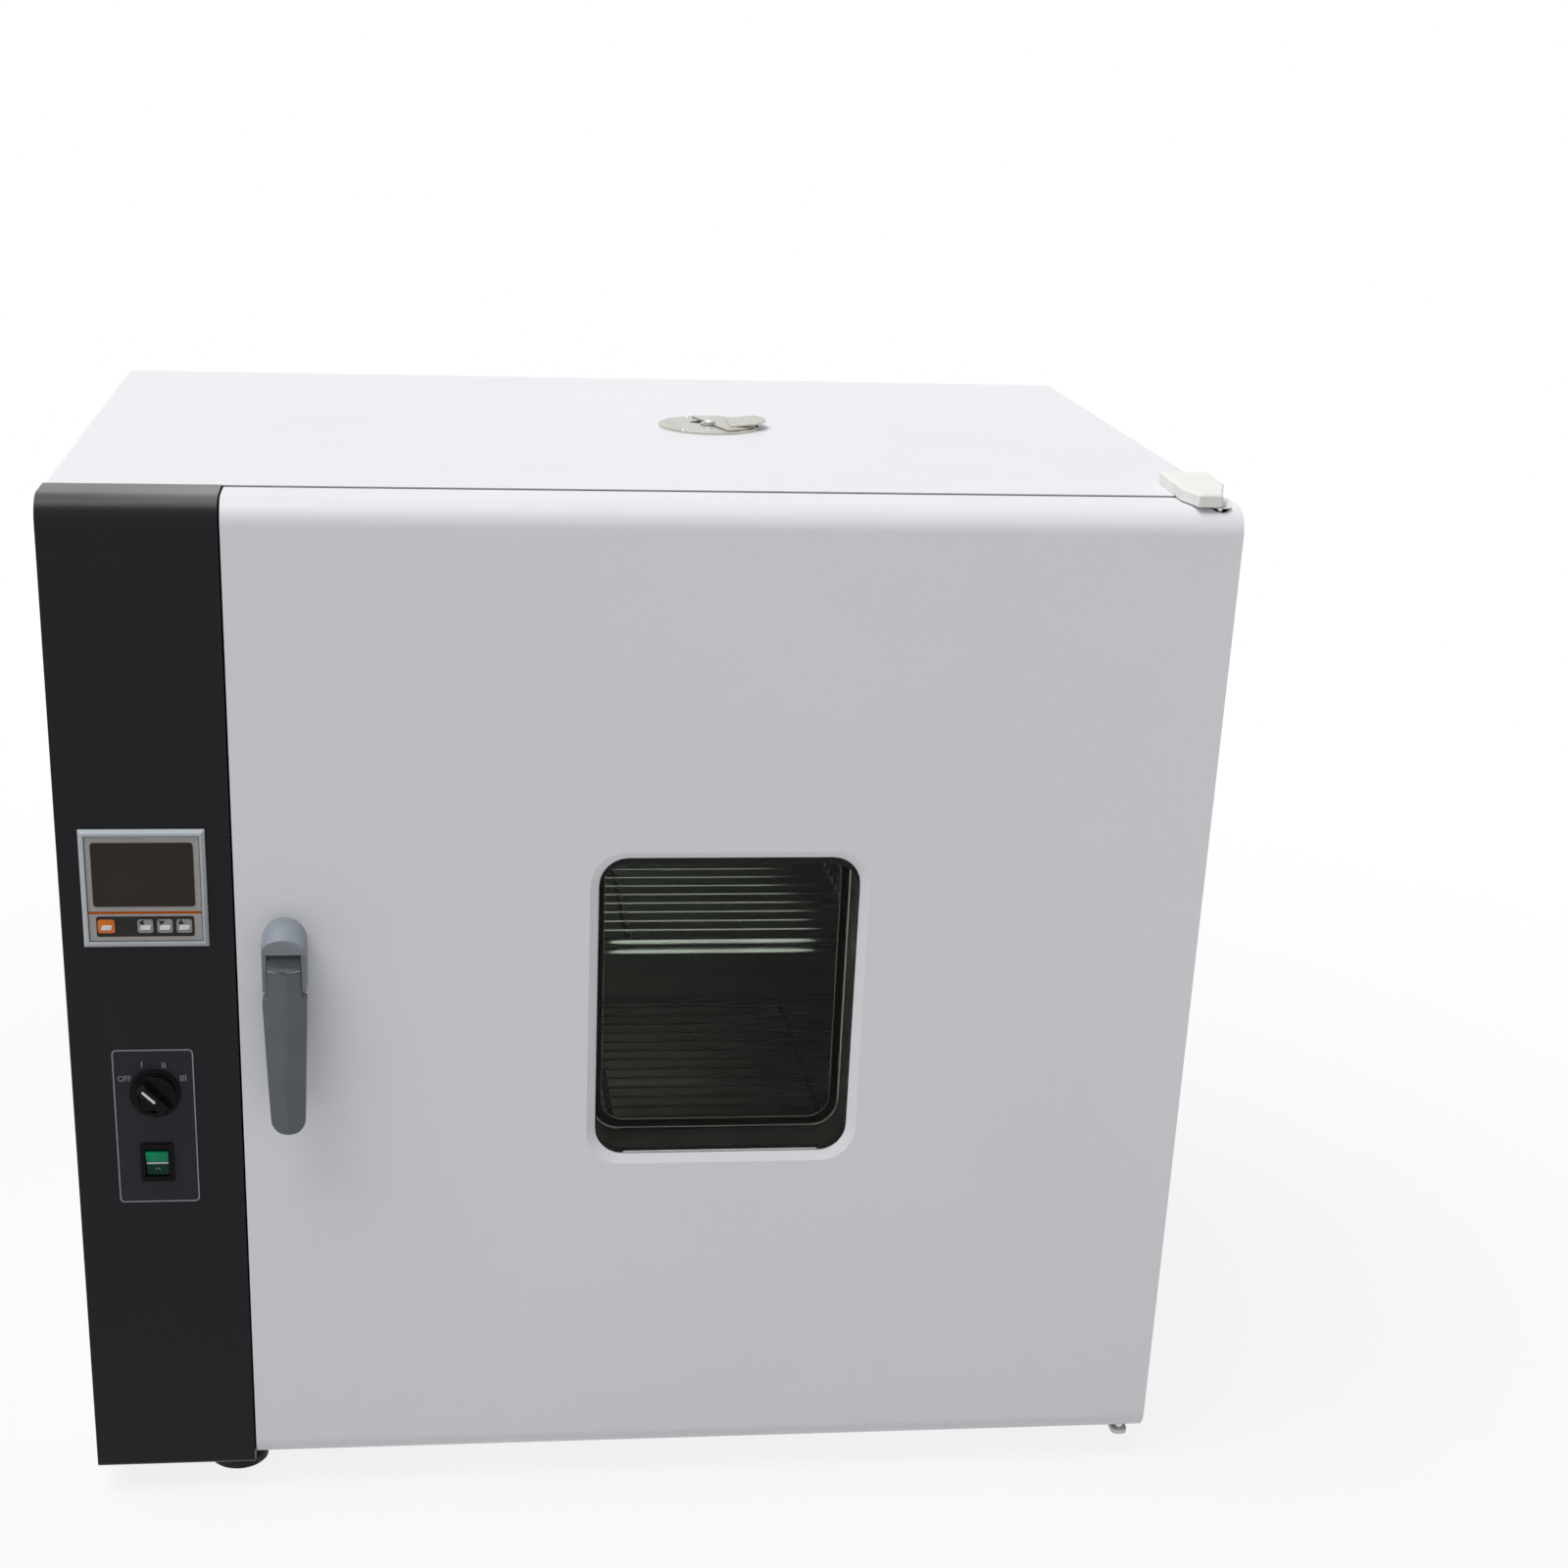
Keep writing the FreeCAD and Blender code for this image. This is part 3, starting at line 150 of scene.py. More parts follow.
def new_group(kind, name, inputs, outputs):
    """A node group with named sockets: (label, socket type, default) in, (label, socket type) out."""
    tree = bpy.data.node_groups.new(name, kind)
    for label, socket, value in inputs:
        made = tree.interface.new_socket(name=label, in_out="INPUT", socket_type=socket)
        if value is not None:
            made.default_value = value
    for label, socket in outputs:
        tree.interface.new_socket(name=label, in_out="OUTPUT", socket_type=socket)
    return tree, tree.nodes.new("NodeGroupInput"), tree.nodes.new("NodeGroupOutput")


def upward_faces(tree, steep, level):
    """Mask of faces that look up: 0 where the normal's rise is under steep, 1 where it is over level."""
    shape = put(tree, "ShaderNodeNewGeometry")
    parts = put(tree, "ShaderNodeSeparateXYZ", {0: shape.outputs["Normal"]})
    rise = put(tree, "ShaderNodeMapRange", {"Value": parts.outputs["Z"], "From Min": steep,
                                            "From Max": level})
    return rise.outputs[0]


def grain_group():
    """Noise on object coordinates, stretched for brushing, spread between two values."""
    sockets = [("Scale", FLOAT, 100.0), ("Stretch", VECTOR, (1.0, 1.0, 1.0)), ("Detail", FLOAT, 3.0),
               ("Low", FLOAT, 0.0), ("High", FLOAT, 1.0)]
    tree, given, result = new_group("ShaderNodeTree", "grain", sockets, [("Value", FLOAT)])
    where = put(tree, "ShaderNodeTexCoord")
    spread = put(tree, "ShaderNodeVectorMath", {0: where.outputs["Object"], 1: given.outputs["Stretch"]},
                 operation="MULTIPLY")
    noise = put(tree, "ShaderNodeTexNoise", {"Vector": spread.outputs[0], "Scale": given.outputs["Scale"],
                                             "Detail": given.outputs["Detail"]})
    level = put(tree, "ShaderNodeMapRange", {"Value": noise.outputs[0], "From Min": NOISE_SPAN[0],
                                             "From Max": NOISE_SPAN[1],
                                             "To Min": given.outputs["Low"],
                                             "To Max": given.outputs["High"]})
    tree.links.new(level.outputs[0], result.inputs["Value"])
    return tree


def worn_and_highlit_edge_group():
    """Mask of edges that show wear and a painted highlight: sharp convex places, broken up by noise."""
    sockets = [("Amount", FLOAT, 0.3), ("Scale", FLOAT, 60.0)]
    tree, given, result = new_group("ShaderNodeTree", "worn_and_highlit_edges", sockets, [("Mask", FLOAT)])
    shape = put(tree, "ShaderNodeNewGeometry")
    sharp = put(tree, "ShaderNodeMapRange", {"Value": shape.outputs["Pointiness"],
                                             "From Min": WEAR_AND_HIGHLIGHT_SPAN[0], "From Max": WEAR_AND_HIGHLIGHT_SPAN[1],
                                             "To Min": 0.0, "To Max": given.outputs["Amount"]})
    where = put(tree, "ShaderNodeTexCoord")
    noise = put(tree, "ShaderNodeTexNoise", {"Vector": where.outputs["Object"],
                                             "Scale": given.outputs["Scale"]})
    mask = put(tree, "ShaderNodeMath", {0: sharp.outputs[0], 1: noise.outputs[0]}, operation="MULTIPLY")
    tree.links.new(mask.outputs[0], result.inputs["Mask"])
    return tree


def dust_and_sheen_group():
    """Mask of settled dusting and painted sheen: upward faces, in soft patches."""
    sockets = [("Amount", FLOAT, 0.1), ("Scale", FLOAT, 9.0)]
    tree, given, result = new_group("ShaderNodeTree", "dust_and_top_sheen", sockets, [("Mask", FLOAT)])
    upward = upward_faces(tree, steep=0.6, level=1.0)
    where = put(tree, "ShaderNodeTexCoord")
    noise = put(tree, "ShaderNodeTexNoise", {"Vector": where.outputs["Object"],
                                             "Scale": given.outputs["Scale"], "Detail": 6.0})
    patches = put(tree, "ShaderNodeMath", {0: upward, 1: noise.outputs[0]}, operation="MULTIPLY")
    mask = put(tree, "ShaderNodeMath", {0: patches.outputs[0], 1: given.outputs["Amount"]},
               operation="MULTIPLY")
    tree.links.new(mask.outputs[0], result.inputs["Mask"])
    return tree


GRAIN = grain_group()
WORN_AND_HIGHLIT_EDGES = worn_and_highlit_edge_group()
DUST_AND_SHEEN = dust_and_sheen_group()
MATERIALS = {}


def use(tree, group, **values):
    """Places a shared group with its own values and returns its first output."""
    made = put(tree, "ShaderNodeGroup", node_tree=group)
    for label, value in values.items():
        made.inputs[label.capitalize()].default_value = value
    return made.outputs[0]


def blend_colour(tree, mask, low, high):
    """Mixes two colours by a mask. Each one is a tone or another node's output."""
    mix = put(tree, "ShaderNodeMix", {0: mask}, data_type="RGBA")
    for index, value in ((6, low), (7, high)):
        if isinstance(value, bpy.types.NodeSocket):
            tree.links.new(value, mix.inputs[index])
        else:
            mix.inputs[index].default_value = (*value, 1.0)
    return mix.outputs[2]


def new_material(name):
    """Starts a finish and returns its tree and its shader."""
    made = bpy.data.materials.new(name)
    made.use_nodes = True
    MATERIALS[name] = made
    return made.node_tree, made.node_tree.nodes["Principled BSDF"]


def skin(name, light, dark, rough, mottle=6.0, relief=(900.0, 0.15, 0.1), stretch=(1.0, 1.0, 1.0),
         metallic=0.0, worn_and_highlit=None, dust_and_sheen=0.0, **sockets):
    """A solid surface finish. light and dark are its two close tones, rough its least and
    greatest roughness, relief the scale, strength and depth in millimetres of its texture."""
    tree, shader = new_material(name)
    patches = use(tree, GRAIN, scale=mottle, stretch=stretch, detail=4.0)
    colour = blend_colour(tree, patches, light, dark)
    # Paler sharp edges: partly wear, partly painted highlight.
    if worn_and_highlit:
        colour = blend_colour(tree, use(tree, WORN_AND_HIGHLIT_EDGES, amount=worn_and_highlit[0]), colour, worn_and_highlit[1])
    # Paler upward faces: partly settled dusting, partly painted sheen.
    if dust_and_sheen:
        colour = blend_colour(tree, use(tree, DUST_AND_SHEEN, amount=dust_and_sheen), colour, DUST_AND_SHEEN_TONE)
    tree.links.new(colour, shader.inputs["Base Color"])
    gloss = use(tree, GRAIN, scale=mottle * GLOSS_FINER, stretch=stretch, low=rough[0], high=rough[1])
    tree.links.new(gloss, shader.inputs["Roughness"])
    fine = use(tree, GRAIN, scale=relief[0], stretch=stretch, detail=2.0)
    bump = put(tree, "ShaderNodeBump", {"Strength": relief[1], "Distance": relief[2] * MM, "Height": fine})
    tree.links.new(bump.outputs[0], shader.inputs["Normal"])
    shader.inputs["Metallic"].default_value = metallic
    for label, value in sockets.items():
        shader.inputs[label.replace("_", " ")].default_value = value


def powder_coats():
    """Baked powder paint: a fine orange peel under a satin sheen."""
    skin("white_paint", (0.8, 0.802, 0.83), (0.775, 0.778, 0.808), (0.36, 0.46), mottle=2.5,
         relief=(620.0, 0.3, 0.14), dust_and_sheen=0.04, Specular_IOR_Level=0.4)
    # On the black paint the paler edges are partly painted highlight, and the pale blend on upward faces is
    # mostly painted sheen, the light glancing off the column's top, with a little dusting.
    skin("black_paint", (0.0095, 0.0092, 0.0125), (0.0077, 0.0074, 0.0102), (0.3, 0.4), mottle=3.0,
         relief=(700.0, 0.35, 0.12), worn_and_highlit=(0.2, (0.06, 0.06, 0.066)), dust_and_sheen=0.3, Specular_IOR_Level=0.17)


def sheet_metals():
    """Bare sheet, wire and plated parts. Brushed lines run along the long side of the sheet."""
    skin("stainless_steel", (0.52, 0.5, 0.468), (0.43, 0.414, 0.387), (0.32, 0.46), mottle=14.0,
         stretch=(0.03, 0.03, 1.0), relief=(420.0, 0.12, 0.05), metallic=1.0)
    skin("bright_wire", (0.66, 0.65, 0.63), (0.55, 0.54, 0.52), (0.12, 0.22), mottle=30.0,
         relief=(800.0, 0.08, 0.03), metallic=1.0)
    # The lower shelf's darker wire is painted shade.
    skin("shade_darkened_wire", (0.21, 0.2, 0.182), (0.16, 0.153, 0.138), (0.5, 0.6), mottle=30.0,
         relief=(800.0, 0.15, 0.04), metallic=1.0)
    skin("nickel_plate", (0.58, 0.57, 0.52), (0.47, 0.46, 0.415), (0.26, 0.42), mottle=40.0,
         relief=(900.0, 0.2, 0.05), stretch=(1.0, 0.08, 1.0), metallic=1.0)
    skin("zinc_plate", (0.62, 0.63, 0.66), (0.46, 0.47, 0.5), (0.28, 0.42), mottle=60.0,
         relief=(500.0, 0.1, 0.04), metallic=1.0)
    skin("galvanised_steel", (0.55, 0.56, 0.58), (0.4, 0.41, 0.43), (0.35, 0.55), mottle=26.0,
         relief=(300.0, 0.1, 0.05), metallic=1.0)
    skin("cast_aluminium", (0.52, 0.53, 0.55), (0.4, 0.41, 0.43), (0.42, 0.6), mottle=18.0,
         relief=(700.0, 0.5, 0.2), metallic=1.0)
    skin("heater_sheath", (0.2, 0.18, 0.17), (0.1, 0.085, 0.08), (0.4, 0.6), mottle=22.0,
         relief=(500.0, 0.3, 0.1), metallic=1.0)
    skin("brass_bush", (0.62, 0.47, 0.2), (0.5, 0.37, 0.15), (0.25, 0.4), mottle=40.0, metallic=1.0)


def mouldings():
    """Moulded plastics and rubber, each with the grain of its tool."""
    # The bezel's near-white edges are painted highlight.
    skin("controller_frame", (0.47, 0.51, 0.535), (0.43, 0.47, 0.495), (0.28, 0.38), mottle=30.0,
         relief=(1500.0, 0.25, 0.05), worn_and_highlit=(0.3, (0.8, 0.84, 0.86)), Specular_IOR_Level=0.35)
    skin("controller_face", (0.385, 0.378, 0.37), (0.35, 0.344, 0.336), (0.42, 0.52), mottle=30.0,
         relief=(1800.0, 0.2, 0.04), Specular_IOR_Level=0.3)
    skin("black_plastic", (0.0045, 0.0045, 0.005), (0.003, 0.003, 0.0035), (0.22, 0.34), mottle=30.0,
         relief=(1500.0, 0.3, 0.05), worn_and_highlit=(0.3, (0.06, 0.06, 0.06)), Specular_IOR_Level=0.08)
    skin("label_foil", (0.0115, 0.0142, 0.0225), (0.009, 0.0113, 0.0185), (0.36, 0.46), mottle=20.0,
         relief=(2600.0, 0.2, 0.03), Specular_IOR_Level=0.22)
    skin("orange_key", (0.78, 0.19, 0.012), (0.66, 0.15, 0.01), (0.24, 0.34), mottle=90.0,
         Specular_IOR_Level=0.3)
    skin("grey_key", (0.29, 0.286, 0.282), (0.255, 0.25, 0.246), (0.24, 0.34), mottle=90.0,
         Specular_IOR_Level=0.3)
    # The handle's paler edges are partly wear, partly painted highlight.
    skin("handle_light", (0.295, 0.324, 0.366), (0.262, 0.288, 0.328), (0.34, 0.44), mottle=40.0,
         relief=(1300.0, 0.35, 0.07), worn_and_highlit=(0.25, (0.34, 0.37, 0.4)), Specular_IOR_Level=0.3)
    # The lip's paler tone is painted highlight.
    skin("handle_lip_highlight", (0.42, 0.46, 0.5), (0.36, 0.4, 0.44), (0.28, 0.36), mottle=60.0,
         relief=(1300.0, 0.25, 0.05), Specular_IOR_Level=0.4)
    skin("handle_dark", (0.108, 0.125, 0.142), (0.092, 0.108, 0.124), (0.34, 0.46), mottle=40.0,
         relief=(1300.0, 0.4, 0.07), worn_and_highlit=(0.25, (0.24, 0.27, 0.3)), Specular_IOR_Level=0.3)
    skin("ivory_plastic", (0.84, 0.83, 0.8), (0.8, 0.79, 0.76), (0.38, 0.5), mottle=30.0,
         relief=(1200.0, 0.3, 0.06))
    skin("terminal_plastic", (0.6, 0.59, 0.55), (0.52, 0.51, 0.48), (0.4, 0.5), mottle=40.0)
    skin("silicone_seal", (0.62, 0.61, 0.58), (0.55, 0.54, 0.51), (0.5, 0.65), mottle=40.0,
         relief=(900.0, 0.3, 0.08))
    skin("foot_rubber", (0.014, 0.014, 0.014), (0.02, 0.02, 0.02), (0.55, 0.75), mottle=60.0,
         relief=(1100.0, 0.6, 0.12), dust_and_sheen=0.15, Specular_IOR_Level=0.3)
    skin("glass_wool", (0.72, 0.6, 0.24), (0.6, 0.48, 0.17), (0.85, 0.95), mottle=50.0,
         relief=(260.0, 1.0, 1.5), stretch=(0.4, 0.4, 2.0))


def hood_shade():
    """The handle's hood is paler on top, where the light falls, than on its front and cheeks."""
    tree = MATERIALS["handle_light"].node_tree
    colour = tree.nodes["Principled BSDF"].inputs["Base Color"]
    upward = upward_faces(tree, steep=0.1, level=0.3)
    patches = use(tree, GRAIN, scale=40.0)
    front = blend_colour(tree, patches, (0.208, 0.233, 0.257), (0.187, 0.21, 0.233))
    tree.links.new(blend_colour(tree, upward, front, colour.links[0].from_socket), colour)


def see_through_parts():
    """Door glass and the screen's tinted cover."""
    tree, shader = new_material("clear_glass")
    tint = use(tree, GRAIN, scale=3.0, low=0.0, high=1.0)
    colour = blend_colour(tree, tint, (0.86, 0.895, 0.86), (0.83, 0.87, 0.835))
    tree.links.new(colour, shader.inputs["Base Color"])
    tree.links.new(use(tree, GRAIN, scale=5.0, low=0.0, high=0.02), shader.inputs["Roughness"])
    shader.inputs["Transmission Weight"].default_value = 1.0
    shader.inputs["IOR"].default_value = 1.12
    skin("screen_brown", (0.032, 0.025, 0.02), (0.025, 0.019, 0.015), (0.16, 0.24), mottle=12.0,
         relief=(600.0, 0.04, 0.02), Specular_IOR_Level=0.12)


def rocker_lens():
    """The rocker's green lens, with painted light: its upper half is painted lit, its lower half painted in
    shade.
    """
    tree, shader = new_material("green_rocker")
    where = put(tree, "ShaderNodeTexCoord")
    height = put(tree, "ShaderNodeSeparateXYZ", {0: where.outputs["Object"]})
    valley = 0.6
    upper = put(tree, "ShaderNodeMapRange", {"Value": height.outputs["Z"],
                                             "From Min": (SWITCH_Z - valley) * MM,
                                             "From Max": (SWITCH_Z + valley) * MM})
    painted_shade_green = ((0.002, 0.05, 0.024), (0.0015, 0.036, 0.017))
    painted_light_green = ((0.003, 0.3, 0.13), (0.002, 0.22, 0.1))
    tones = [blend_colour(tree, use(tree, GRAIN, scale=60.0), *pair) for pair in (painted_shade_green, painted_light_green)]
    tree.links.new(blend_colour(tree, upper.outputs[0], *tones), shader.inputs["Base Color"])
    tree.links.new(use(tree, GRAIN, scale=90.0, low=0.12, high=0.22), shader.inputs["Roughness"])
    shader.inputs["Specular IOR Level"].default_value = 0.1


def prints():
    """Printed lines and marks on the labels. The white print also serves for painted highlights, and the
    black for the painted shade in the screws' cross recesses.
    """
    skin("print_and_highlight_white", (0.8, 0.8, 0.8), (0.7, 0.7, 0.7), (0.4, 0.5), mottle=200.0,
         Specular_IOR_Level=0.3)
    skin("print_grey", (0.3, 0.31, 0.34), (0.25, 0.26, 0.29), (0.4, 0.5), mottle=200.0,
         Specular_IOR_Level=0.3)
    skin("print_and_shade_black", (0.022, 0.02, 0.018), (0.016, 0.015, 0.014), (0.35, 0.45), mottle=200.0,
         Specular_IOR_Level=0.2)
    skin("print_orange", (0.44, 0.08, 0.002), (0.4, 0.07, 0.002), (0.4, 0.5), mottle=200.0,
         Specular_IOR_Level=0.05)


# Mesh tools

# The bend in degrees from which an edge of a CAD node or a grown row counts as sharp
SHARP_BEND = 32.0


def new_object(name, mesh, material, body):
    """Links a finished piece, gives it its finish and lets it ride on its body."""
    made = add_to_scene(bpy.data.objects.new(name, mesh))
    mesh.materials.clear()
    mesh.materials.append(MATERIALS[material])
    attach(made, body)
    return made


def smooth(mesh, angle):
    """Shades a mesh smooth, except across edges that bend by more than an angle in degrees."""
    for face in mesh.polygons:
        face.use_smooth = True
    mesh.set_sharp_from_angle(angle=math.radians(angle))


def ease_edges(made, width, angle):
    """Rounds the edges of a piece that bend by more than an angle in degrees."""
    bevel = made.modifiers.new("eased_edges", "BEVEL")
    bevel.width = width * MM
    bevel.segments = 2
    bevel.limit_method = "ANGLE"
    bevel.angle_limit = math.radians(angle)
    bevel.harden_normals = True


def paint_frame():
    """Every CAD node that keeps its own mesh gets the finish of its slot."""
    for name, made in frame["nodes"].items():
        made.data.materials.clear()
        made.data.materials.append(MATERIALS[SLOTS[name]])


def round_rect(x0, x1, z0, z1, r, steps=6):
    """Outline of a rectangle with round corners, anticlockwise seen from the front."""
    points = []
    corners = ((x1 - r, z1 - r, 0), (x0 + r, z1 - r, 90), (x0 + r, z0 + r, 180), (x1 - r, z0 + r, 270))
    for x, z, start in corners:
        for i in range(steps + 1):
            turn = math.radians(start + 90 * i / steps)
            points.append((x + r * math.cos(turn), z + r * math.sin(turn)))
    return points


def rectangle(x0, x1, z0, z1):
    """Outline of a plain rectangle, in the same order as round_rect."""
    return [(x1, z0), (x1, z1), (x0, z1), (x0, z0)]


def disc(radius):
    """Outline of a round disc about the middle."""
    return round_rect(-radius, radius, -radius, radius, radius)


def inset(sides, margin):
    """The four sides of a rectangle, moved in by a margin."""
    x0, x1, z0, z1 = sides
    return (x0 + margin, x1 - margin, z0 + margin, z1 - margin)


def add_plate(form, outline, y0, y1):
    """Adds a flat closed plate with its outline in x and z, in millimetres, between two depths."""
    front = [form.verts.new((x * MM, y0 * MM, z * MM)) for x, z in outline]
    rear = [form.verts.new((x * MM, y1 * MM, z * MM)) for x, z in outline]
    form.faces.new(front)
    form.faces.new(rear[::-1])
    for i in range(len(outline)):
        form.faces.new((front[i - 1], rear[i - 1], rear[i], front[i]))


def add_band(form, outer, inner, y0, y1):
    """Adds a closed flat band between two outlines of as many points."""
    loops = [[form.verts.new((x * MM, y * MM, z * MM)) for x, z in outline]
             for outline, y in ((outer, y0), (inner, y0), (inner, y1), (outer, y1))]
    for a, b in zip(loops, loops[1:] + loops[:1]):
        for i in range(len(outer)):
            form.faces.new((a[i - 1], a[i], b[i], b[i - 1]))


def join_rings(form, rings):
    """Walls between rings of as many points, closed at both ends."""
    for a, b in zip(rings, rings[1:]):
        for i in range(len(a)):
            form.faces.new((a[i - 1], a[i], b[i], b[i - 1]))
    form.faces.new(rings[0])
    form.faces.new(rings[-1][::-1])


def add_turned(form, profile, centre, axis="z", sides=48):
    """Adds a turned shape: (radius, height) pairs about an axis through centre."""
    rings = []
    for radius, height in profile:
        ring = []
        for i in range(sides):
            turn = 2 * math.pi * i / sides
            u, v = radius * math.cos(turn), radius * math.sin(turn)
            offset = (u, v, height) if axis == "z" else (u, height, v)
            ring.append(form.verts.new([(c + o) * MM for c, o in zip(centre, offset)]))
        rings.append(ring)
    join_rings(form, rings)


def add_rod(form, start, end, radius, sides=16):
    """Adds a round bar between two points in millimetres, its ends a little thinner."""
    start, end = Vector(start), Vector(end)
    along = (end - start).normalized()
    side = along.orthogonal().normalized()
    up = along.cross(side)
    tip = along * radius * 0.3
    end_share = 0.75
    stations = ((start, end_share), (start + tip, 1.0), (end - tip, 1.0), (end, end_share))
    rings = []
    for place, share in stations:
        ring = []
        for i in range(sides):
            turn = 2 * math.pi * i / sides
            out = (side * math.cos(turn) + up * math.sin(turn)) * radius * share
            ring.append(form.verts.new((place + out) * MM))
        rings.append(ring)
    join_rings(form, rings)


def finish_piece(form, name, material, body, angle=35.0, edge=0.0):
    """Turns a bmesh into a finished piece; edge rounds its sharp edges."""
    bmesh.ops.recalc_face_normals(form, faces=form.faces)
    mesh = bpy.data.meshes.new(name)
    form.to_mesh(mesh)
    form.free()
    smooth(mesh, angle)
    made = new_object(name, mesh, material, body)
    if edge:
        ease_edges(made, edge, angle)
    return made


def plate_piece(name, outline, y0, y1, material, body, edge=0.0):
    """A flat plate as a piece of its own."""
    form = bmesh.new()
    add_plate(form, outline, y0, y1)
    return finish_piece(form, name, material, body, edge=edge)


# Nodes of the frame shown as cleaned copies, with the rounding of their edges in millimetres
EASED = {"outer_wrapper": 0.5, "front_frame": 0.6, "control_column": 1.0, "door_skin": 0.6,
         "controller_case": 0.5, "controller_face": 0.2, "label_plate": 0.2, "fan_knob": 0.5,
         "power_switch_housing": 0.5, "power_rocker": 0.5, "handle_base": 0.8, "handle_lever": 0.9,
         "hinge_cap_top": 0.8, "hinge_plate_top": 0.4, "hinge_plate_bottom": 0.4,
         "vent_plate": 0.3, "vent_damper": 0.25, "rear_panel": 0.3, "window_pane_outer": 0.8,
         "window_pane_inner": 0.8, "duct_panel": 0.2, "floor_plate": 0.2, "shelf_rails": 0.2,
         "door_gasket": 0.6, "door_inner_panel": 0.3, "latch_striker": 0.4, "latch_hook": 0.6,
         "temperature_probe": 0.3, "fan_wheel": 0.2, "base_pan": 0.3, "chamber_liner": 0.0,
         "window_tunnel": 0.0, "hinge_pins": 0.2, "hinge_bushes": 0.2, "heater_elements": 0.0,
         "handle_pin": 0.2, "fan_shaft": 0.2, "fan_motor": 0.4}

# The lower hinge is painted with the casing
PAINTED_OVER = {"hinge_plate_bottom": "white_paint"}


def ease_node(node, width):
    """A clean copy of a CAD node, its sharp edges rounded, shown in the node's place."""
    same_place, same_plane = 0.004 * MM, math.radians(0.6)
    form = bmesh.new()
    form.from_mesh(frame["nodes"][node].data)
    bmesh.ops.remove_doubles(form, verts=form.verts, dist=same_place)
    bmesh.ops.dissolve_limit(form, angle_limit=same_plane, verts=form.verts, edges=form.edges)
    mesh = bpy.data.meshes.new(node + "_form")
    form.to_mesh(mesh)
    form.free()
    smooth(mesh, SHARP_BEND)
    finish = PAINTED_OVER.get(node, SLOTS[node])
    made = new_object(node + "_form", mesh, finish, BODY_OF[node])
    if width:
        ease_edges(made, width, SHARP_BEND)
    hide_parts(node)


def ease_nodes():
    for node, width in EASED.items():
        ease_node(node, width)


# Repeated pieces, grown by Geometry Nodes

def row_tree(name, inputs):
    """Starts a tree that sets copies of one item along a straight row."""
    shared = [("Count", WHOLE, 4), ("Start", VECTOR, None), ("Step", VECTOR, None),
              ("Turn", VECTOR, None), ("Radius", FLOAT, 0.003), ("Finish", FINISH, None)]
    tree, given, result = new_group("GeometryNodeTree", name, shared + inputs, [("Geometry", FORM)])
    row = put(tree, "GeometryNodeMeshLine", {"Count": given.outputs["Count"],
                                             "Offset": given.outputs["Step"],
                                             "Start Location": given.outputs["Start"]}, mode="OFFSET")
    return tree, given, result, row


def end_row(tree, given, row, item):
    """Places the item on the row's points, makes the copies real and gives them their finish."""
    placed = put(tree, "GeometryNodeInstanceOnPoints", {"Points": row.outputs[0], "Instance": item,
                                                        "Rotation": given.outputs["Turn"]})
    real = put(tree, "GeometryNodeRealizeInstances", {0: placed.outputs[0]})
    return put(tree, "GeometryNodeSetMaterial", {"Geometry": real.outputs[0],
                                                 "Material": given.outputs["Finish"]}).outputs[0]


def wire_tree():
    """A row of straight round wires."""
    tree, given, result, row = row_tree("wire_row", [("Length", FLOAT, 0.1)])
    wire = put(tree, "GeometryNodeMeshCylinder", {"Vertices": 14, "Radius": given.outputs["Radius"],
                                                  "Depth": given.outputs["Length"]})
    tree.links.new(end_row(tree, given, row, wire.outputs[0]), result.inputs[0])
    return tree


def screw_tree():
    """A row of pan-head screws, each with its cross recess marked in dark as painted shade, standing along
    local Z.
    """
    inputs = [("Rise", FLOAT, 0.002), ("RecessShade", FINISH, None)]
    tree, given, result, row = row_tree("screw_row", inputs)
    # The crown, and the length and width of the recess's arms, as shares of the head's radius
    crown, long, thin = (put(tree, "ShaderNodeMath", {0: given.outputs["Radius"], 1: share},
                             operation="MULTIPLY") for share in (0.62, 0.95, 0.2))
    head = put(tree, "GeometryNodeMeshCone", {"Vertices": 20, "Radius Top": crown.outputs[0],
                                              "Radius Bottom": given.outputs["Radius"],
                                              "Depth": given.outputs["Rise"]})
    parts = put(tree, "GeometryNodeJoinGeometry")
    tree.links.new(head.outputs[0], parts.inputs[0])
    top = put(tree, "ShaderNodeCombineXYZ", {2: given.outputs["Rise"]})
    # The cross recess is a thin dark mark on the crown: painted shade in place of a hollow.
    for u, v in ((long, thin), (thin, long)):
        size = put(tree, "ShaderNodeCombineXYZ", {0: u.outputs[0], 1: v.outputs[0], 2: 0.12 * MM})
        arm = put(tree, "GeometryNodeMeshCube", {"Size": size.outputs[0]})
        lifted = put(tree, "GeometryNodeTransform", {"Geometry": arm.outputs[0],
                                                     "Translation": top.outputs[0]})
        marked = put(tree, "GeometryNodeStoreNamedAttribute", {
            "Geometry": lifted.outputs[0], "Name": "recess", "Value": True}, data_type="BOOLEAN",
            domain="FACE")
        tree.links.new(marked.outputs[0], parts.inputs[0])
    coated = end_row(tree, given, row, parts.outputs[0])
    recess_shade_mask = put(tree, "GeometryNodeInputNamedAttribute", {"Name": "recess"}, data_type="BOOLEAN")
    done = put(tree, "GeometryNodeSetMaterial", {"Geometry": coated, "Selection": recess_shade_mask.outputs[0],
                                                 "Material": given.outputs["RecessShade"]})
    tree.links.new(done.outputs[0], result.inputs[0])
    return tree


WIRES = wire_tree()
SCREWS = screw_tree()


def evaluated_mesh(made):
    """The finished mesh of an object, with its modifiers applied or its curves filled."""
    return bpy.data.meshes.new_from_object(made.evaluated_get(bpy.context.evaluated_depsgraph_get()))


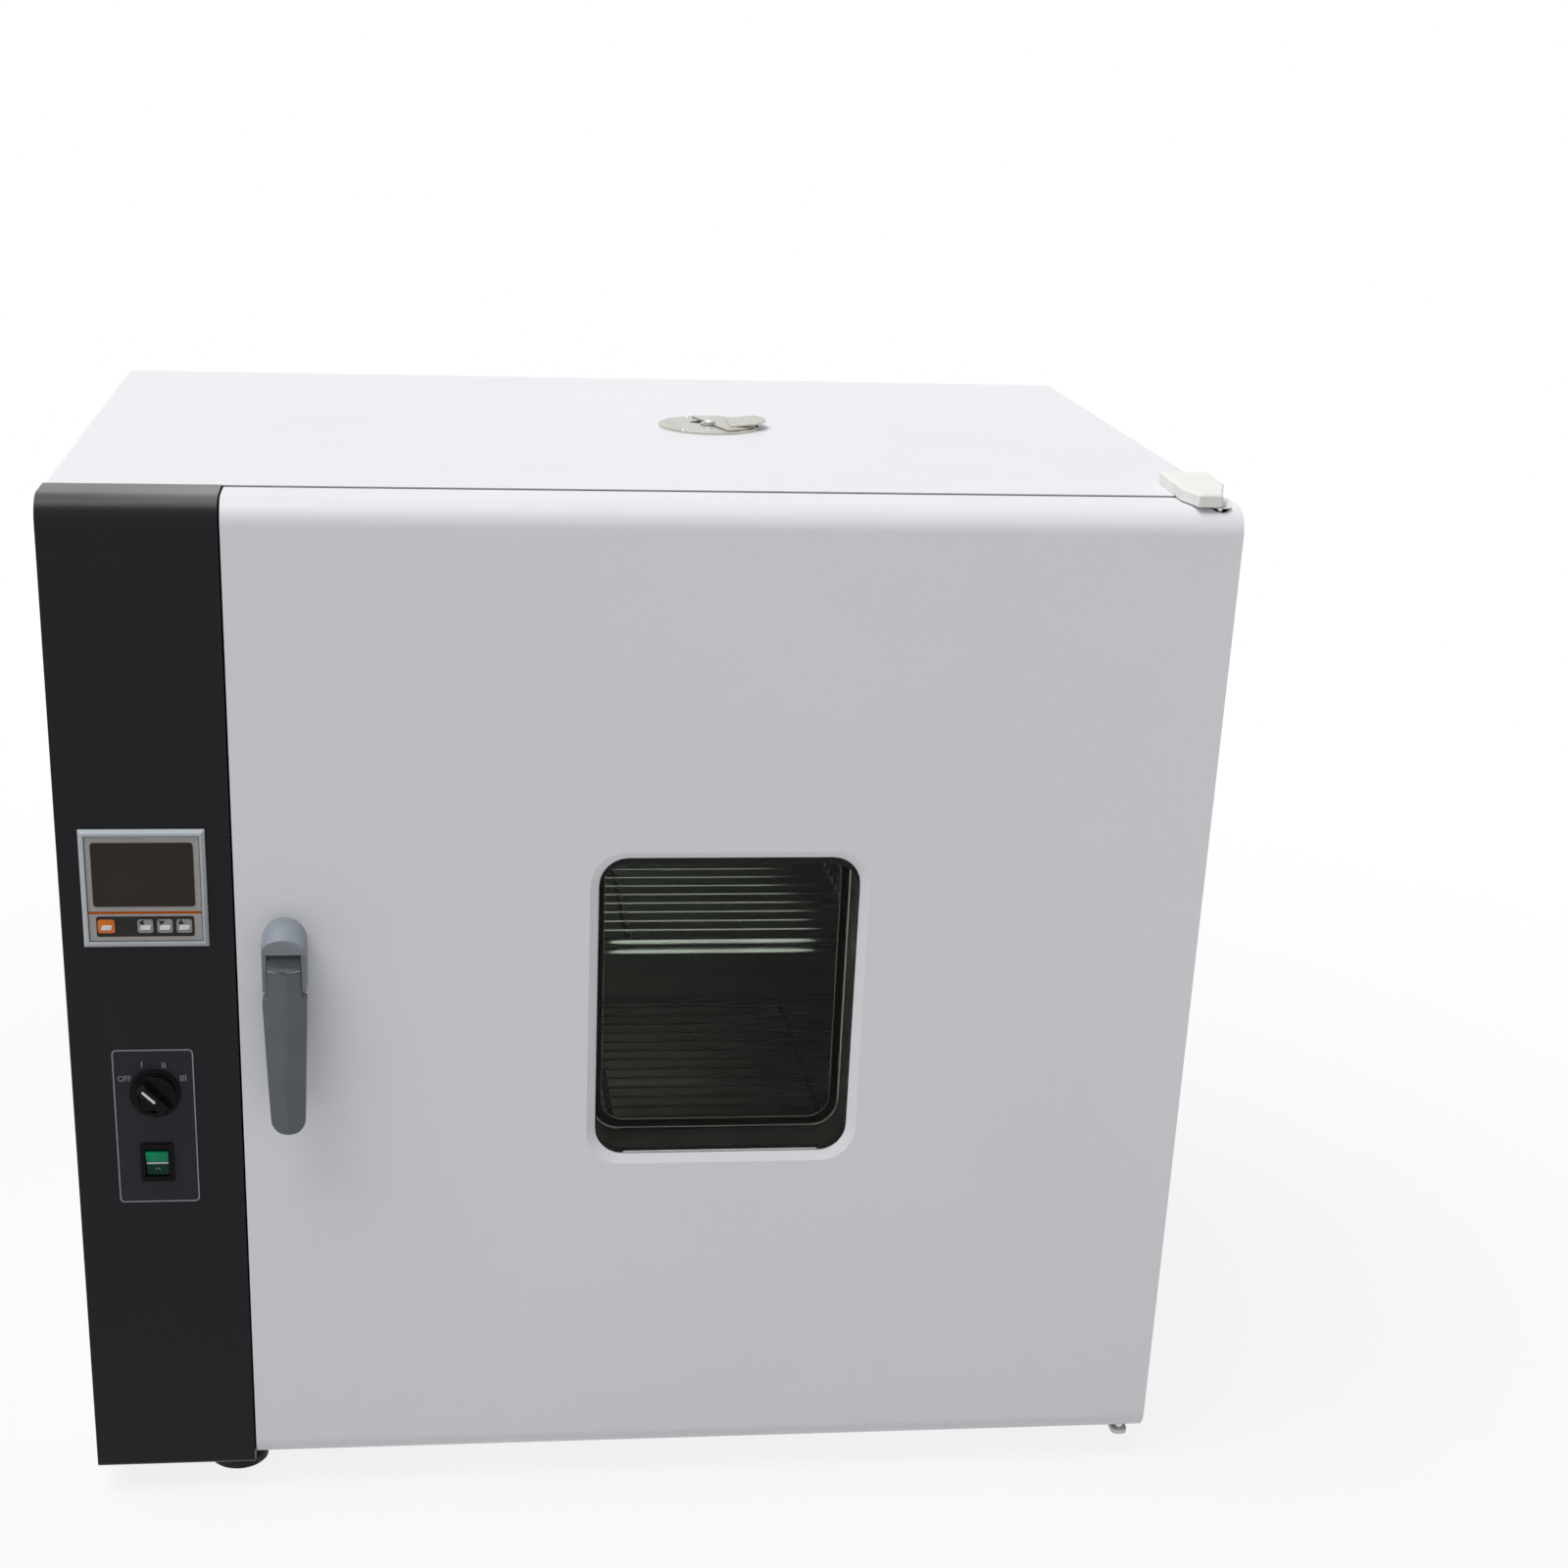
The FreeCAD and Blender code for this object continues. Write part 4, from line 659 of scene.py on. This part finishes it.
def grow(tree, rows):
    """Runs a tree once for each row of values and returns the joined plain mesh."""
    form = bmesh.new()
    finishes = []
    for values in rows:
        host = add_to_scene(bpy.data.objects.new("row", bpy.data.meshes.new("row")))
        nodes = host.modifiers.new("row", "NODES")
        nodes.node_group = tree
        for item in tree.interface.items_tree:
            if item.in_out == "INPUT" and item.name in values:
                nodes[item.identifier] = values[item.name]
        grown = evaluated_mesh(host)
        finishes = list(grown.materials)
        form.from_mesh(grown)
        bpy.data.objects.remove(host)
        bpy.data.meshes.remove(grown)
    mesh = bpy.data.meshes.new("grown")
    form.to_mesh(mesh)
    form.free()
    for finish in finishes:
        mesh.materials.append(finish)
    smooth(mesh, SHARP_BEND)
    return mesh


def grown_piece(name, tree, rows, body):
    """Grown rows as a piece of their own, with the finishes that the rows name."""
    mesh = grow(tree, rows)
    mesh.name = name
    made = add_to_scene(bpy.data.objects.new(name, mesh))
    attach(made, body)


def spot(x, y, z):
    """A place given in millimetres, in the frame's metres."""
    return (x * MM, y * MM, z * MM)


def screw_row(count, start, step, facing, radius=3.6, rise=1.6, finish="zinc_plate"):
    """Values for one row of screws; facing turns the heads: front, rear, left or right."""
    quarter = math.pi / 2
    turn = {"front": (quarter, 0, 0), "rear": (-quarter, 0, 0), "left": (0, -quarter, 0),
            "right": (0, quarter, 0)}[facing]
    return {"Count": count, "Start": spot(*start), "Step": spot(*step), "Turn": turn,
            "Radius": radius * MM, "Rise": rise * MM, "Finish": MATERIALS[finish],
            "RecessShade": MATERIALS["print_and_shade_black"]}


def wire_shelves():
    """Both shelves: a round bar frame, a second bar below the front, and a deck of wires.
    The lower one is darker, as painted shade where little light reaches it."""
    for name, body, finish in (("shelf_upper", "upper_shelf", "bright_wire"),
                               ("shelf_lower", "lower_shelf", "shade_darkened_wire")):
        low, high = (corner / MM for corner in map(Vector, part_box(name)))
        level = high.z - 2 * WIRE_R - ROD_R
        y0, y1 = low.y + ROD_R, high.y - ROD_R
        width = high.x - low.x
        third = width / 3
        form = bmesh.new()
        for y in (y0, y1):
            add_rod(form, (low.x, y, level), (high.x, y, level), ROD_R)
        for x in (low.x + ROD_R, low.x + third, high.x - third, high.x - ROD_R):
            add_rod(form, (x, y0, level), (x, y1, level), ROD_R)
        drop = level - FRONT_BAR_DROP
        add_rod(form, (low.x + FRONT_BAR_END, y0, drop), (high.x - FRONT_BAR_END, y0, drop), ROD_R)
        for x in (low.x + POST_END, high.x - POST_END):
            add_rod(form, (x, y0, drop), (x, y0, level), POST_R)
        row = {"Count": WIRE_COUNT, "Start": spot((low.x + high.x) / 2, y0 + FIRST_WIRE, high.z - WIRE_R),
               "Step": spot(0, WIRE_PITCH, 0), "Turn": (0, math.pi / 2, 0),
               "Length": (width - 2 * WIRE_END_GAP) * MM, "Radius": WIRE_R * MM,
               "Finish": MATERIALS[finish]}
        deck = grow(WIRES, [row])
        form.from_mesh(deck)
        bpy.data.meshes.remove(deck)
        made = finish_piece(form, name + "_wires", finish, body, angle=50.0)
        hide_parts(name)


def rear_screws():
    """Pan-head screws round the rear panel."""
    half_rise = 0.8
    y = Y_REAR + half_rise
    side, pitch_across, foot, top = -434.0, 124.0, 40.0, 836.0
    lowest, pitch_up = 172.0, 132.0
    rows = [screw_row(8, (side, y, z), (pitch_across, 0, 0), "rear") for z in (foot, top)]
    rows += [screw_row(5, (x, y, lowest), (0, 0, pitch_up), "rear") for x in (side, -side)]
    grown_piece("rear_panel_screws", SCREWS, rows, CABINET)


def chamber_screws():
    """Small screws that hold the shelf rails and the latch striker."""
    rail_sheet, lowest, pitch_up = 2.1, 160.0, 177.0
    rows = []
    for y in (-208.0, 213.0):
        for x, facing in ((DUCT_X + rail_sheet, "right"), (OPENING_RIGHT - rail_sheet, "left")):
            rows.append(screw_row(4, (x, y, lowest), (0, 0, pitch_up), facing, radius=2.6, rise=1.2,
                                  finish="stainless_steel"))
    striker_y, striker_z, striker_pitch = -255.7, 477.0, 50.0
    rows.append(screw_row(2, (HANDLE_X, striker_y, striker_z), (0, 0, striker_pitch), "front",
                          radius=3.0, rise=1.4))
    grown_piece("chamber_screws", SCREWS, rows, CABINET)


# Controls

# How far a print reaches into its plate and stands out from it
PRINT_IN, PRINT_OUT = 0.1, 0.06


def controller_details():
    """Tinted screen, groove, printed line and the dark field behind the keys."""
    cover_proud, cover_in, corner = 0.7, 0.2, 2.4
    screen = plate_piece("screen_cover", round_rect(*SCREEN, corner), FACE_Y - cover_proud,
                         FACE_Y + cover_in, "screen_brown", CABINET, edge=0.25)
    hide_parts("controller_screen")
    groove_width, groove_in = 0.55, 0.2
    outer, inner = round_rect(*FACE, 0.6, 2), round_rect(*inset(FACE, groove_width), 0.4, 2)
    form = bmesh.new()
    add_band(form, outer, inner, FACE_Y - PRINT_OUT, FACE_Y + groove_in)
    finish_piece(form, "face_groove", "print_and_shade_black", CABINET)
    line_proud, field_proud, field_corner = 0.08, 0.12, 1.8
    plate_piece("face_line", rectangle(*FACE_LINE), FACE_Y - line_proud, FACE_Y + PRINT_IN,
                "print_orange", CABINET)
    plate_piece("key_field", round_rect(*KEY_FIELD, field_corner), FACE_Y - field_proud,
                FACE_Y + PRINT_IN, "print_and_shade_black", CABINET)


def key_caps():
    """Round-cornered keys, each with a raised white patch that is painted highlight and, on the grey ones,
    a small arrow.
    """
    cap_corner, highlight_proud, arrow_proud = 1.9, 0.5, 0.07
    highlight_patch = ((4.4, 1.2), (-2.6, 1.2), (-3.8, 0.1), (-4.0, -2.9), (3.0, -2.9), (4.0, -1.8))
    arrows = {"key_left": 180.0, "key_down": 270.0, "key_up": 90.0}
    arrow_x, arrow_z, arrow_r = -2.5, 3.2, 2.7
    for name, (x, width) in KEYS.items():
        body = name + "_body"
        low, high = (corner / MM for corner in map(Vector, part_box(name)))
        front = low.y
        cap_sides = (x - width / 2, x + width / 2, KEY_Z - KEY_H / 2, KEY_Z + KEY_H / 2)
        cap = plate_piece(name + "_cap", round_rect(*cap_sides, cap_corner), front, high.y, SLOTS[name],
                          body, edge=0.35)
        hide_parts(name)
        # The white patch on each key is painted highlight.
        plate_piece(name + "_highlight", [(x + u, KEY_Z + v) for u, v in highlight_patch], front - highlight_proud,
                    front + PRINT_IN, "print_and_highlight_white", body, edge=0.3)
        if name in arrows:
            tip = math.radians(arrows[name])
            corners = [(x + arrow_x + arrow_r * math.cos(tip + turn),
                        KEY_Z + arrow_z + arrow_r * math.sin(tip + turn))
                       for turn in (0.0, 2 * math.pi / 3, 4 * math.pi / 3)]
            plate_piece(name + "_arrow", corners, front - arrow_proud, front + PRINT_IN, "print_and_shade_black",
                        body)


def word(form, text, size, x, z, y, squeeze):
    """Adds a generic mark in plain letters, seen from the front, to a bmesh."""
    thickness = 0.04
    curve = bpy.data.curves.new("mark", "FONT")
    curve.body = text
    curve.size = size * MM
    curve.extrude = thickness * MM
    curve.resolution_u = 3
    curve.align_x = "CENTER"
    curve.align_y = "CENTER"
    made = add_to_scene(bpy.data.objects.new("mark", curve))
    mesh = evaluated_mesh(made)
    mesh.transform(Matrix.Translation(spot(x, y, z)) @ Matrix.Rotation(math.pi / 2, 4, "X")
                   @ Matrix.Diagonal((squeeze, 1.0, 1.0, 1.0)))
    form.from_mesh(mesh)
    bpy.data.objects.remove(made)
    bpy.data.meshes.remove(mesh)


def label_details():
    """The label's border line and the dial marks round the knob."""
    front, rear = LABEL_Y - PRINT_OUT, LABEL_Y + PRINT_IN
    border_outer, border_inner = round_rect(*inset(LABEL, 0.3), 3.7), round_rect(*inset(LABEL, 1.3), 2.7)
    form = bmesh.new()
    add_band(form, border_outer, border_inner, front, rear)
    word(form, "OFF", size=7.2, x=-413.7, z=387.0, y=LABEL_Y - 0.02, squeeze=0.84)
    pitch, half_width, half_height = 1.9, 0.38, 2.5
    for x, z, bars in ((-399.6, 399.2, 1), (-382.4, 398.5, 2), (-367.5, 387.1, 3)):
        for i in range(bars):
            bar_x = x + (i - (bars - 1) / 2) * pitch
            bar = rectangle(bar_x - half_width, bar_x + half_width, z - half_height, z + half_height)
            add_plate(form, bar, front, rear)
    finish_piece(form, "label_marks", "print_grey", CABINET)


def knob_line():
    """White pointer line with round ends, let into the knob's grip."""
    front = (Vector(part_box("fan_knob")[0]) / MM).y
    proud, let_in = 0.12, 0.3
    tip, tail, half_width = 11.0, -0.9, 1.05
    steps = 8
    turn = math.radians(135.0)
    outline = []
    for end, first in ((tip, -90), (tail, 90)):
        for i in range(steps + 1):
            a = math.radians(first + 180 * i / steps)
            u, v = end + half_width * math.cos(a), half_width * math.sin(a)
            outline.append((KNOB_X + u * math.cos(turn) - v * math.sin(turn),
                            KNOB_Z + u * math.sin(turn) + v * math.cos(turn)))
    plate_piece("knob_line", outline, front - proud, front + let_in, "print_and_highlight_white", "fan_speed_knob")


def rocker_marks():
    """Ring mark on the rocker's lower half and a pale strip across its valley that is painted highlight,
    tilted with it.
    """
    pivot_depth, tipped = 4.5, math.radians(9.0)
    pivot = Vector((SWITCH_X, Y_FRONT + pivot_depth, SWITCH_Z))
    tilt = (Matrix.Translation(pivot * MM) @ Matrix.Rotation(tipped, 4, "X")
            @ Matrix.Translation(-pivot * MM))
    ring = bmesh.new()
    ring_proud, ring_width, ring_depth = 6.35, 0.5, 0.5
    ring_y = pivot.y - ring_proud
    sides = (SWITCH_X - 1.7, SWITCH_X + 1.7, SWITCH_Z - 8.2, SWITCH_Z - 4.4)
    outer, inner = round_rect(*sides, 1.69, 5), round_rect(*inset(sides, ring_width), 1.19, 5)
    add_band(ring, outer, inner, ring_y, ring_y + ring_depth)
    # The pale strip is painted highlight along the valley's edge.
    glint_strip = bmesh.new()
    glint_half, glint_below, glint_above, glint_proud, glint_foot = 8.6, 0.6, 0.5, 6.0, 5.2
    glint_outline = rectangle(SWITCH_X - glint_half, SWITCH_X + glint_half, SWITCH_Z - glint_below,
                            SWITCH_Z + glint_above)
    add_plate(glint_strip, glint_outline, pivot.y - glint_proud, pivot.y - glint_foot)
    for form, name, material in ((ring, "rocker_ring", "print_grey"), (glint_strip, "rocker_painted_glint", "print_and_highlight_white")):
        bmesh.ops.transform(form, matrix=tilt, verts=form.verts)
        finish_piece(form, name, material, "power_rocker_body")


# Handle and casing

def handle_lip():
    """Thin raised lip across the lever's head, in a shallow V that falls back beside its ridge, coloured
    pale as painted highlight.
    """
    reach, flat, fall = 12.7, 1.9, 0.259
    end_z, ridge_z, height = 489.6, 488.5, 0.9
    front, rear = -338.95, -338.0
    tops = [(HANDLE_X + reach, end_z), (HANDLE_X + flat, ridge_z), (HANDLE_X - flat, ridge_z),
            (HANDLE_X - reach, end_z)]
    form = bmesh.new()
    add_plate(form, tops + [(x, z - height) for x, z in reversed(tops)], front, rear)
    for vertex in form.verts:
        vertex.co.y += fall * max(0.0, abs(vertex.co.x - HANDLE_X * MM) - flat * MM)
    finish_piece(form, "handle_lip", "handle_lip_highlight", "door_handle", edge=0.2)


def window_dark_band():
    """Black band on the foot of the pressed border round the pane, deeper above the pane, and a pale strip
    along the pane's lower edge that is painted highlight.
    """
    outer, inner = round_rect(*WINDOW_BAND_OUTER, 23.2), round_rect(*WINDOW_BAND_INNER, 22.3)
    front, half_way, rear, thickness = -302.3, -302.0, -301.9, 0.3
    form = bmesh.new()
    add_band(form, outer, inner, front, rear)
    panel = bpy.data.objects["door_skin"].data
    border = BVHTree.FromPolygons([point.co for point in panel.vertices],
                                  [tuple(face.vertices) for face in panel.polygons])
    ahead = -340.0
    for vertex in form.verts:
        lift = thickness * MM if vertex.co.y < half_way * MM else 0.0
        start = Vector((vertex.co.x, ahead * MM, vertex.co.z))
        place = border.ray_cast(start, Vector((0.0, 1.0, 0.0)))[0]
        if place:
            vertex.co.y = min(vertex.co.y, place.y - lift)
    finish_piece(form, "window_dark_band", "black_plastic", "door")
    # The pale strip along the pane's lower edge is painted highlight.
    highlight_corners = [(150.0, 312.1), (148.0, 313.0), (-12.0, 313.0), (-14.0, 312.1)]
    highlight_front, highlight_rear = -303.8, -302.8
    plate_piece("window_sill_highlight", highlight_corners, highlight_front, highlight_rear, "print_and_highlight_white", "door",
                edge=0.15)


def hinge_washer():
    """White washer on the door's top, round the hinge pin."""
    radius, bore_r, thickness = 9.0, 3.75, 0.45
    form = bmesh.new()
    add_band(form, disc(radius), disc(bore_r), 0.0, thickness)
    turn = Matrix.Translation(spot(*HINGE_PIN, DOOR_TOP)) @ Matrix.Rotation(math.pi / 2, 4, "X")
    bmesh.ops.transform(form, matrix=turn, verts=form.verts)
    finish_piece(form, "hinge_washer", "white_paint", "door", angle=50.0)


def column_recess():
    """Small dark switch recess in the column's inner side, near its foot."""
    rim, rim_width, floor_margin = (-7.5, 7.5, -11.0, 11.0), 1.5, 1.3
    rim_proud, floor_proud, depth = 0.35, 0.1, 0.3
    place = (-323.0, -283.0, 170.0)
    form = bmesh.new()
    add_band(form, round_rect(*rim, 2.0), round_rect(*inset(rim, rim_width), 1.2), -rim_proud, depth)
    add_plate(form, round_rect(*inset(rim, floor_margin), 1.3), -floor_proud, depth)
    turn = Matrix.Translation(spot(*place)) @ Matrix.Rotation(math.pi / 2, 4, "Z")
    bmesh.ops.transform(form, matrix=turn, verts=form.verts)
    finish_piece(form, "column_switch_recess", "black_plastic", CABINET)


def frame_seams():
    """Thin joints in the painted frame round the opening."""
    half_gap, front, rear = 0.3, -253.06, -252.8
    left, right = (-320.0, -262.0), (397.0, 452.0)
    form = bmesh.new()
    for side, z in ((left, 461.5), (left, 90.5), (right, 90.5), (right, 790.5)):
        add_plate(form, rectangle(*side, z - half_gap, z + half_gap), front, rear)
    finish_piece(form, "frame_seams", "print_grey", CABINET)


def ceiling_details():
    """The chamber ceiling's centre joint and the cross strut in its vent hole."""
    form = bmesh.new()
    joint_out, joint_in = 0.15, 0.1
    joint = rectangle(66.6, 67.6, OPENING_TOP - joint_out, OPENING_TOP + joint_in)
    for y0, y1 in ((-238.0, 20.0), (66.0, 255.0)):
        add_plate(form, joint, y0, y1)
    reach, strut_r, z = 20.0, 1.1, OPENING_TOP + 0.6
    for degrees in (0.0, 90.0):
        turn = math.radians(degrees)
        u, v = reach * math.cos(turn), reach * math.sin(turn)
        add_rod(form, (VENT_X - u, VENT_Y - v, z), (VENT_X + u, VENT_Y + v, z), strut_r, 10)
    finish_piece(form, "ceiling_joint_and_cross", "stainless_steel", CABINET)


def round_feet():
    """Round rubber feet, each with a narrower neck under the casing."""
    profile = ((23.6, 0.0), (25.0, 1.4), (25.0, 8.4), (23.4, 10.0), (20.6, 10.6), (20.0, 11.4),
               (20.0, 25.0))
    form = bmesh.new()
    for x, y in FEET:
        add_turned(form, profile, (x, y, 0.0))
    made = finish_piece(form, "round_feet", "foot_rubber", CABINET)
    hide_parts("rubber_feet")


def gland_form():
    """Mains gland: hexagon nut, twelve-sided clamping cap and a rubber lip round the cable's hole."""
    nut = ((14.6, 0.0), (16.0, 1.0), (16.0, 4.2), (14.8, 5.0))
    cap = ((12.6, 5.0), (13.2, 6.0), (13.2, 12.0), (11.0, 14.0))
    lip = ((9.6, 13.0), (9.2, 18.6), (8.2, 20.0), (4.6, 20.0), (4.5, 6.0))
    form = bmesh.new()
    for profile, sides in ((nut, 6), (cap, 12), (lip, 40)):
        add_turned(form, profile, (GLAND_X, Y_REAR, GLAND_Z), "y", sides)
    made = finish_piece(form, "cable_gland_form", "black_plastic", CABINET, angle=25.0)
    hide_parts("cable_gland")


def vent_details():
    """Domed centre screw, and three rivets on the plate's rim, outside the turning slide."""
    dome = ((5.3, 3.8), (5.3, 4.8), (4.7, 5.7), (3.4, 6.2), (1.6, 6.35))
    form = bmesh.new()
    add_turned(form, dome, (VENT_X, VENT_Y, VENT_Z), sides=32)
    screw = finish_piece(form, "vent_screw_head", "zinc_plate", CABINET, angle=50.0)
    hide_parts("vent_screw")
    rivet = ((2.2, 1.6), (2.0, 2.4), (1.4, 2.8), (0.6, 2.95))
    rivets_r = 42.1
    form = bmesh.new()
    for degrees in (112.0, 232.0, 352.0):
        turn = math.radians(degrees)
        place = (VENT_X + rivets_r * math.cos(turn), VENT_Y + rivets_r * math.sin(turn), VENT_Z)
        add_turned(form, rivet, place, sides=20)
    finish_piece(form, "vent_rivets", "nickel_plate", CABINET, angle=50.0)


# Floor, surround and light

WHITE = (1.0, 1.0, 1.0, 1.0)


def seen_by_camera(tree):
    """1 for rays that reach the camera straight, off a gloss or through the glass, 0 for all others."""
    path = put(tree, "ShaderNodeLightPath")
    seen = put(tree, "ShaderNodeMath", {0: path.outputs["Is Camera Ray"], 1: path.outputs["Is Glossy Ray"]},
               operation="MAXIMUM")
    seen = put(tree, "ShaderNodeMath", {0: seen.outputs[0], 1: path.outputs["Is Transmission Ray"]},
               operation="MAXIMUM")
    return seen.outputs[0]


def make_floor():
    """A plain pale floor that keeps the shadow near the oven and is white farther out."""
    reach = 40.0
    corners = [(-reach, -reach, 0), (reach, -reach, 0), (reach, reach, 0), (-reach, reach, 0)]
    mesh = bpy.data.meshes.new("floor")
    mesh.from_pydata(corners, [], [(0, 1, 2, 3)])
    floor = add_to_scene(bpy.data.objects.new("floor", mesh))
    made = bpy.data.materials.new("floor")
    made.use_nodes = True
    tree = made.node_tree
    tree.nodes.clear()
    shadow_ends, white_starts, least_glow, grey = 0.7, 1.9, 0.85, 0.64
    seen = seen_by_camera(tree)
    where = put(tree, "ShaderNodeTexCoord")
    far = put(tree, "ShaderNodeVectorMath", {0: where.outputs["Object"]}, operation="LENGTH")
    glow = put(tree, "ShaderNodeMapRange", {"Value": far.outputs["Value"], "From Min": shadow_ends,
                                            "From Max": white_starts, "To Min": least_glow,
                                            "To Max": 1.0}, interpolation_type="SMOOTHSTEP")
    share = put(tree, "ShaderNodeMath", {0: seen, 1: glow.outputs[0]}, operation="MULTIPLY")
    matt = put(tree, "ShaderNodeBsdfDiffuse", {"Color": (grey, grey, grey, 1.0)})
    white = put(tree, "ShaderNodeEmission", {"Color": WHITE, "Strength": 1.0})
    mix = put(tree, "ShaderNodeMixShader", {0: share.outputs[0], 1: matt.outputs[0],
                                            2: white.outputs[0]})
    put(tree, "ShaderNodeOutputMaterial", {"Surface": mix.outputs[0]})
    mesh.materials.append(made)


def make_world():
    """A surround that is seen as white and lights the oven with a third of that strength."""
    world = bpy.data.worlds.new("surround")
    bpy.context.scene.world = world
    world.use_nodes = True
    tree = world.node_tree
    tree.nodes.clear()
    seen = seen_by_camera(tree)
    dim = put(tree, "ShaderNodeBackground", {"Color": (0.98, 0.985, 1.0, 1.0), "Strength": 0.34})
    white = put(tree, "ShaderNodeBackground", {"Color": WHITE, "Strength": 1.0})
    mix = put(tree, "ShaderNodeMixShader", {0: seen, 1: dim.outputs[0], 2: white.outputs[0]})
    put(tree, "ShaderNodeOutputWorld", {"Surface": mix.outputs[0]})


def make_lamp():
    """One broad soft light from above, a little to the front and left."""
    data = bpy.data.lights.new("broad_light", "SUN")
    data.energy = 2.45
    data.angle = math.radians(45.0)
    lamp = add_to_scene(bpy.data.objects.new("broad_light", data))
    aim = Vector((0.42, 0.13, -1.0))
    lamp.rotation_euler = aim.to_track_quat("-Z", "Y").to_euler()
    lamp.location = (-0.5, -0.4, 3.5)


def set_view():
    bpy.context.scene.view_settings.view_transform = "Standard"


powder_coats()
sheet_metals()
mouldings()
hood_shade()
see_through_parts()
rocker_lens()
prints()
paint_frame()
ease_nodes()
wire_shelves()
rear_screws()
chamber_screws()
controller_details()
key_caps()
label_details()
knob_line()
rocker_marks()
handle_lip()
window_dark_band()
hinge_washer()
column_recess()
frame_seams()
ceiling_details()
round_feet()
gland_form()
vent_details()
make_floor()
make_world()
make_lamp()
set_view()
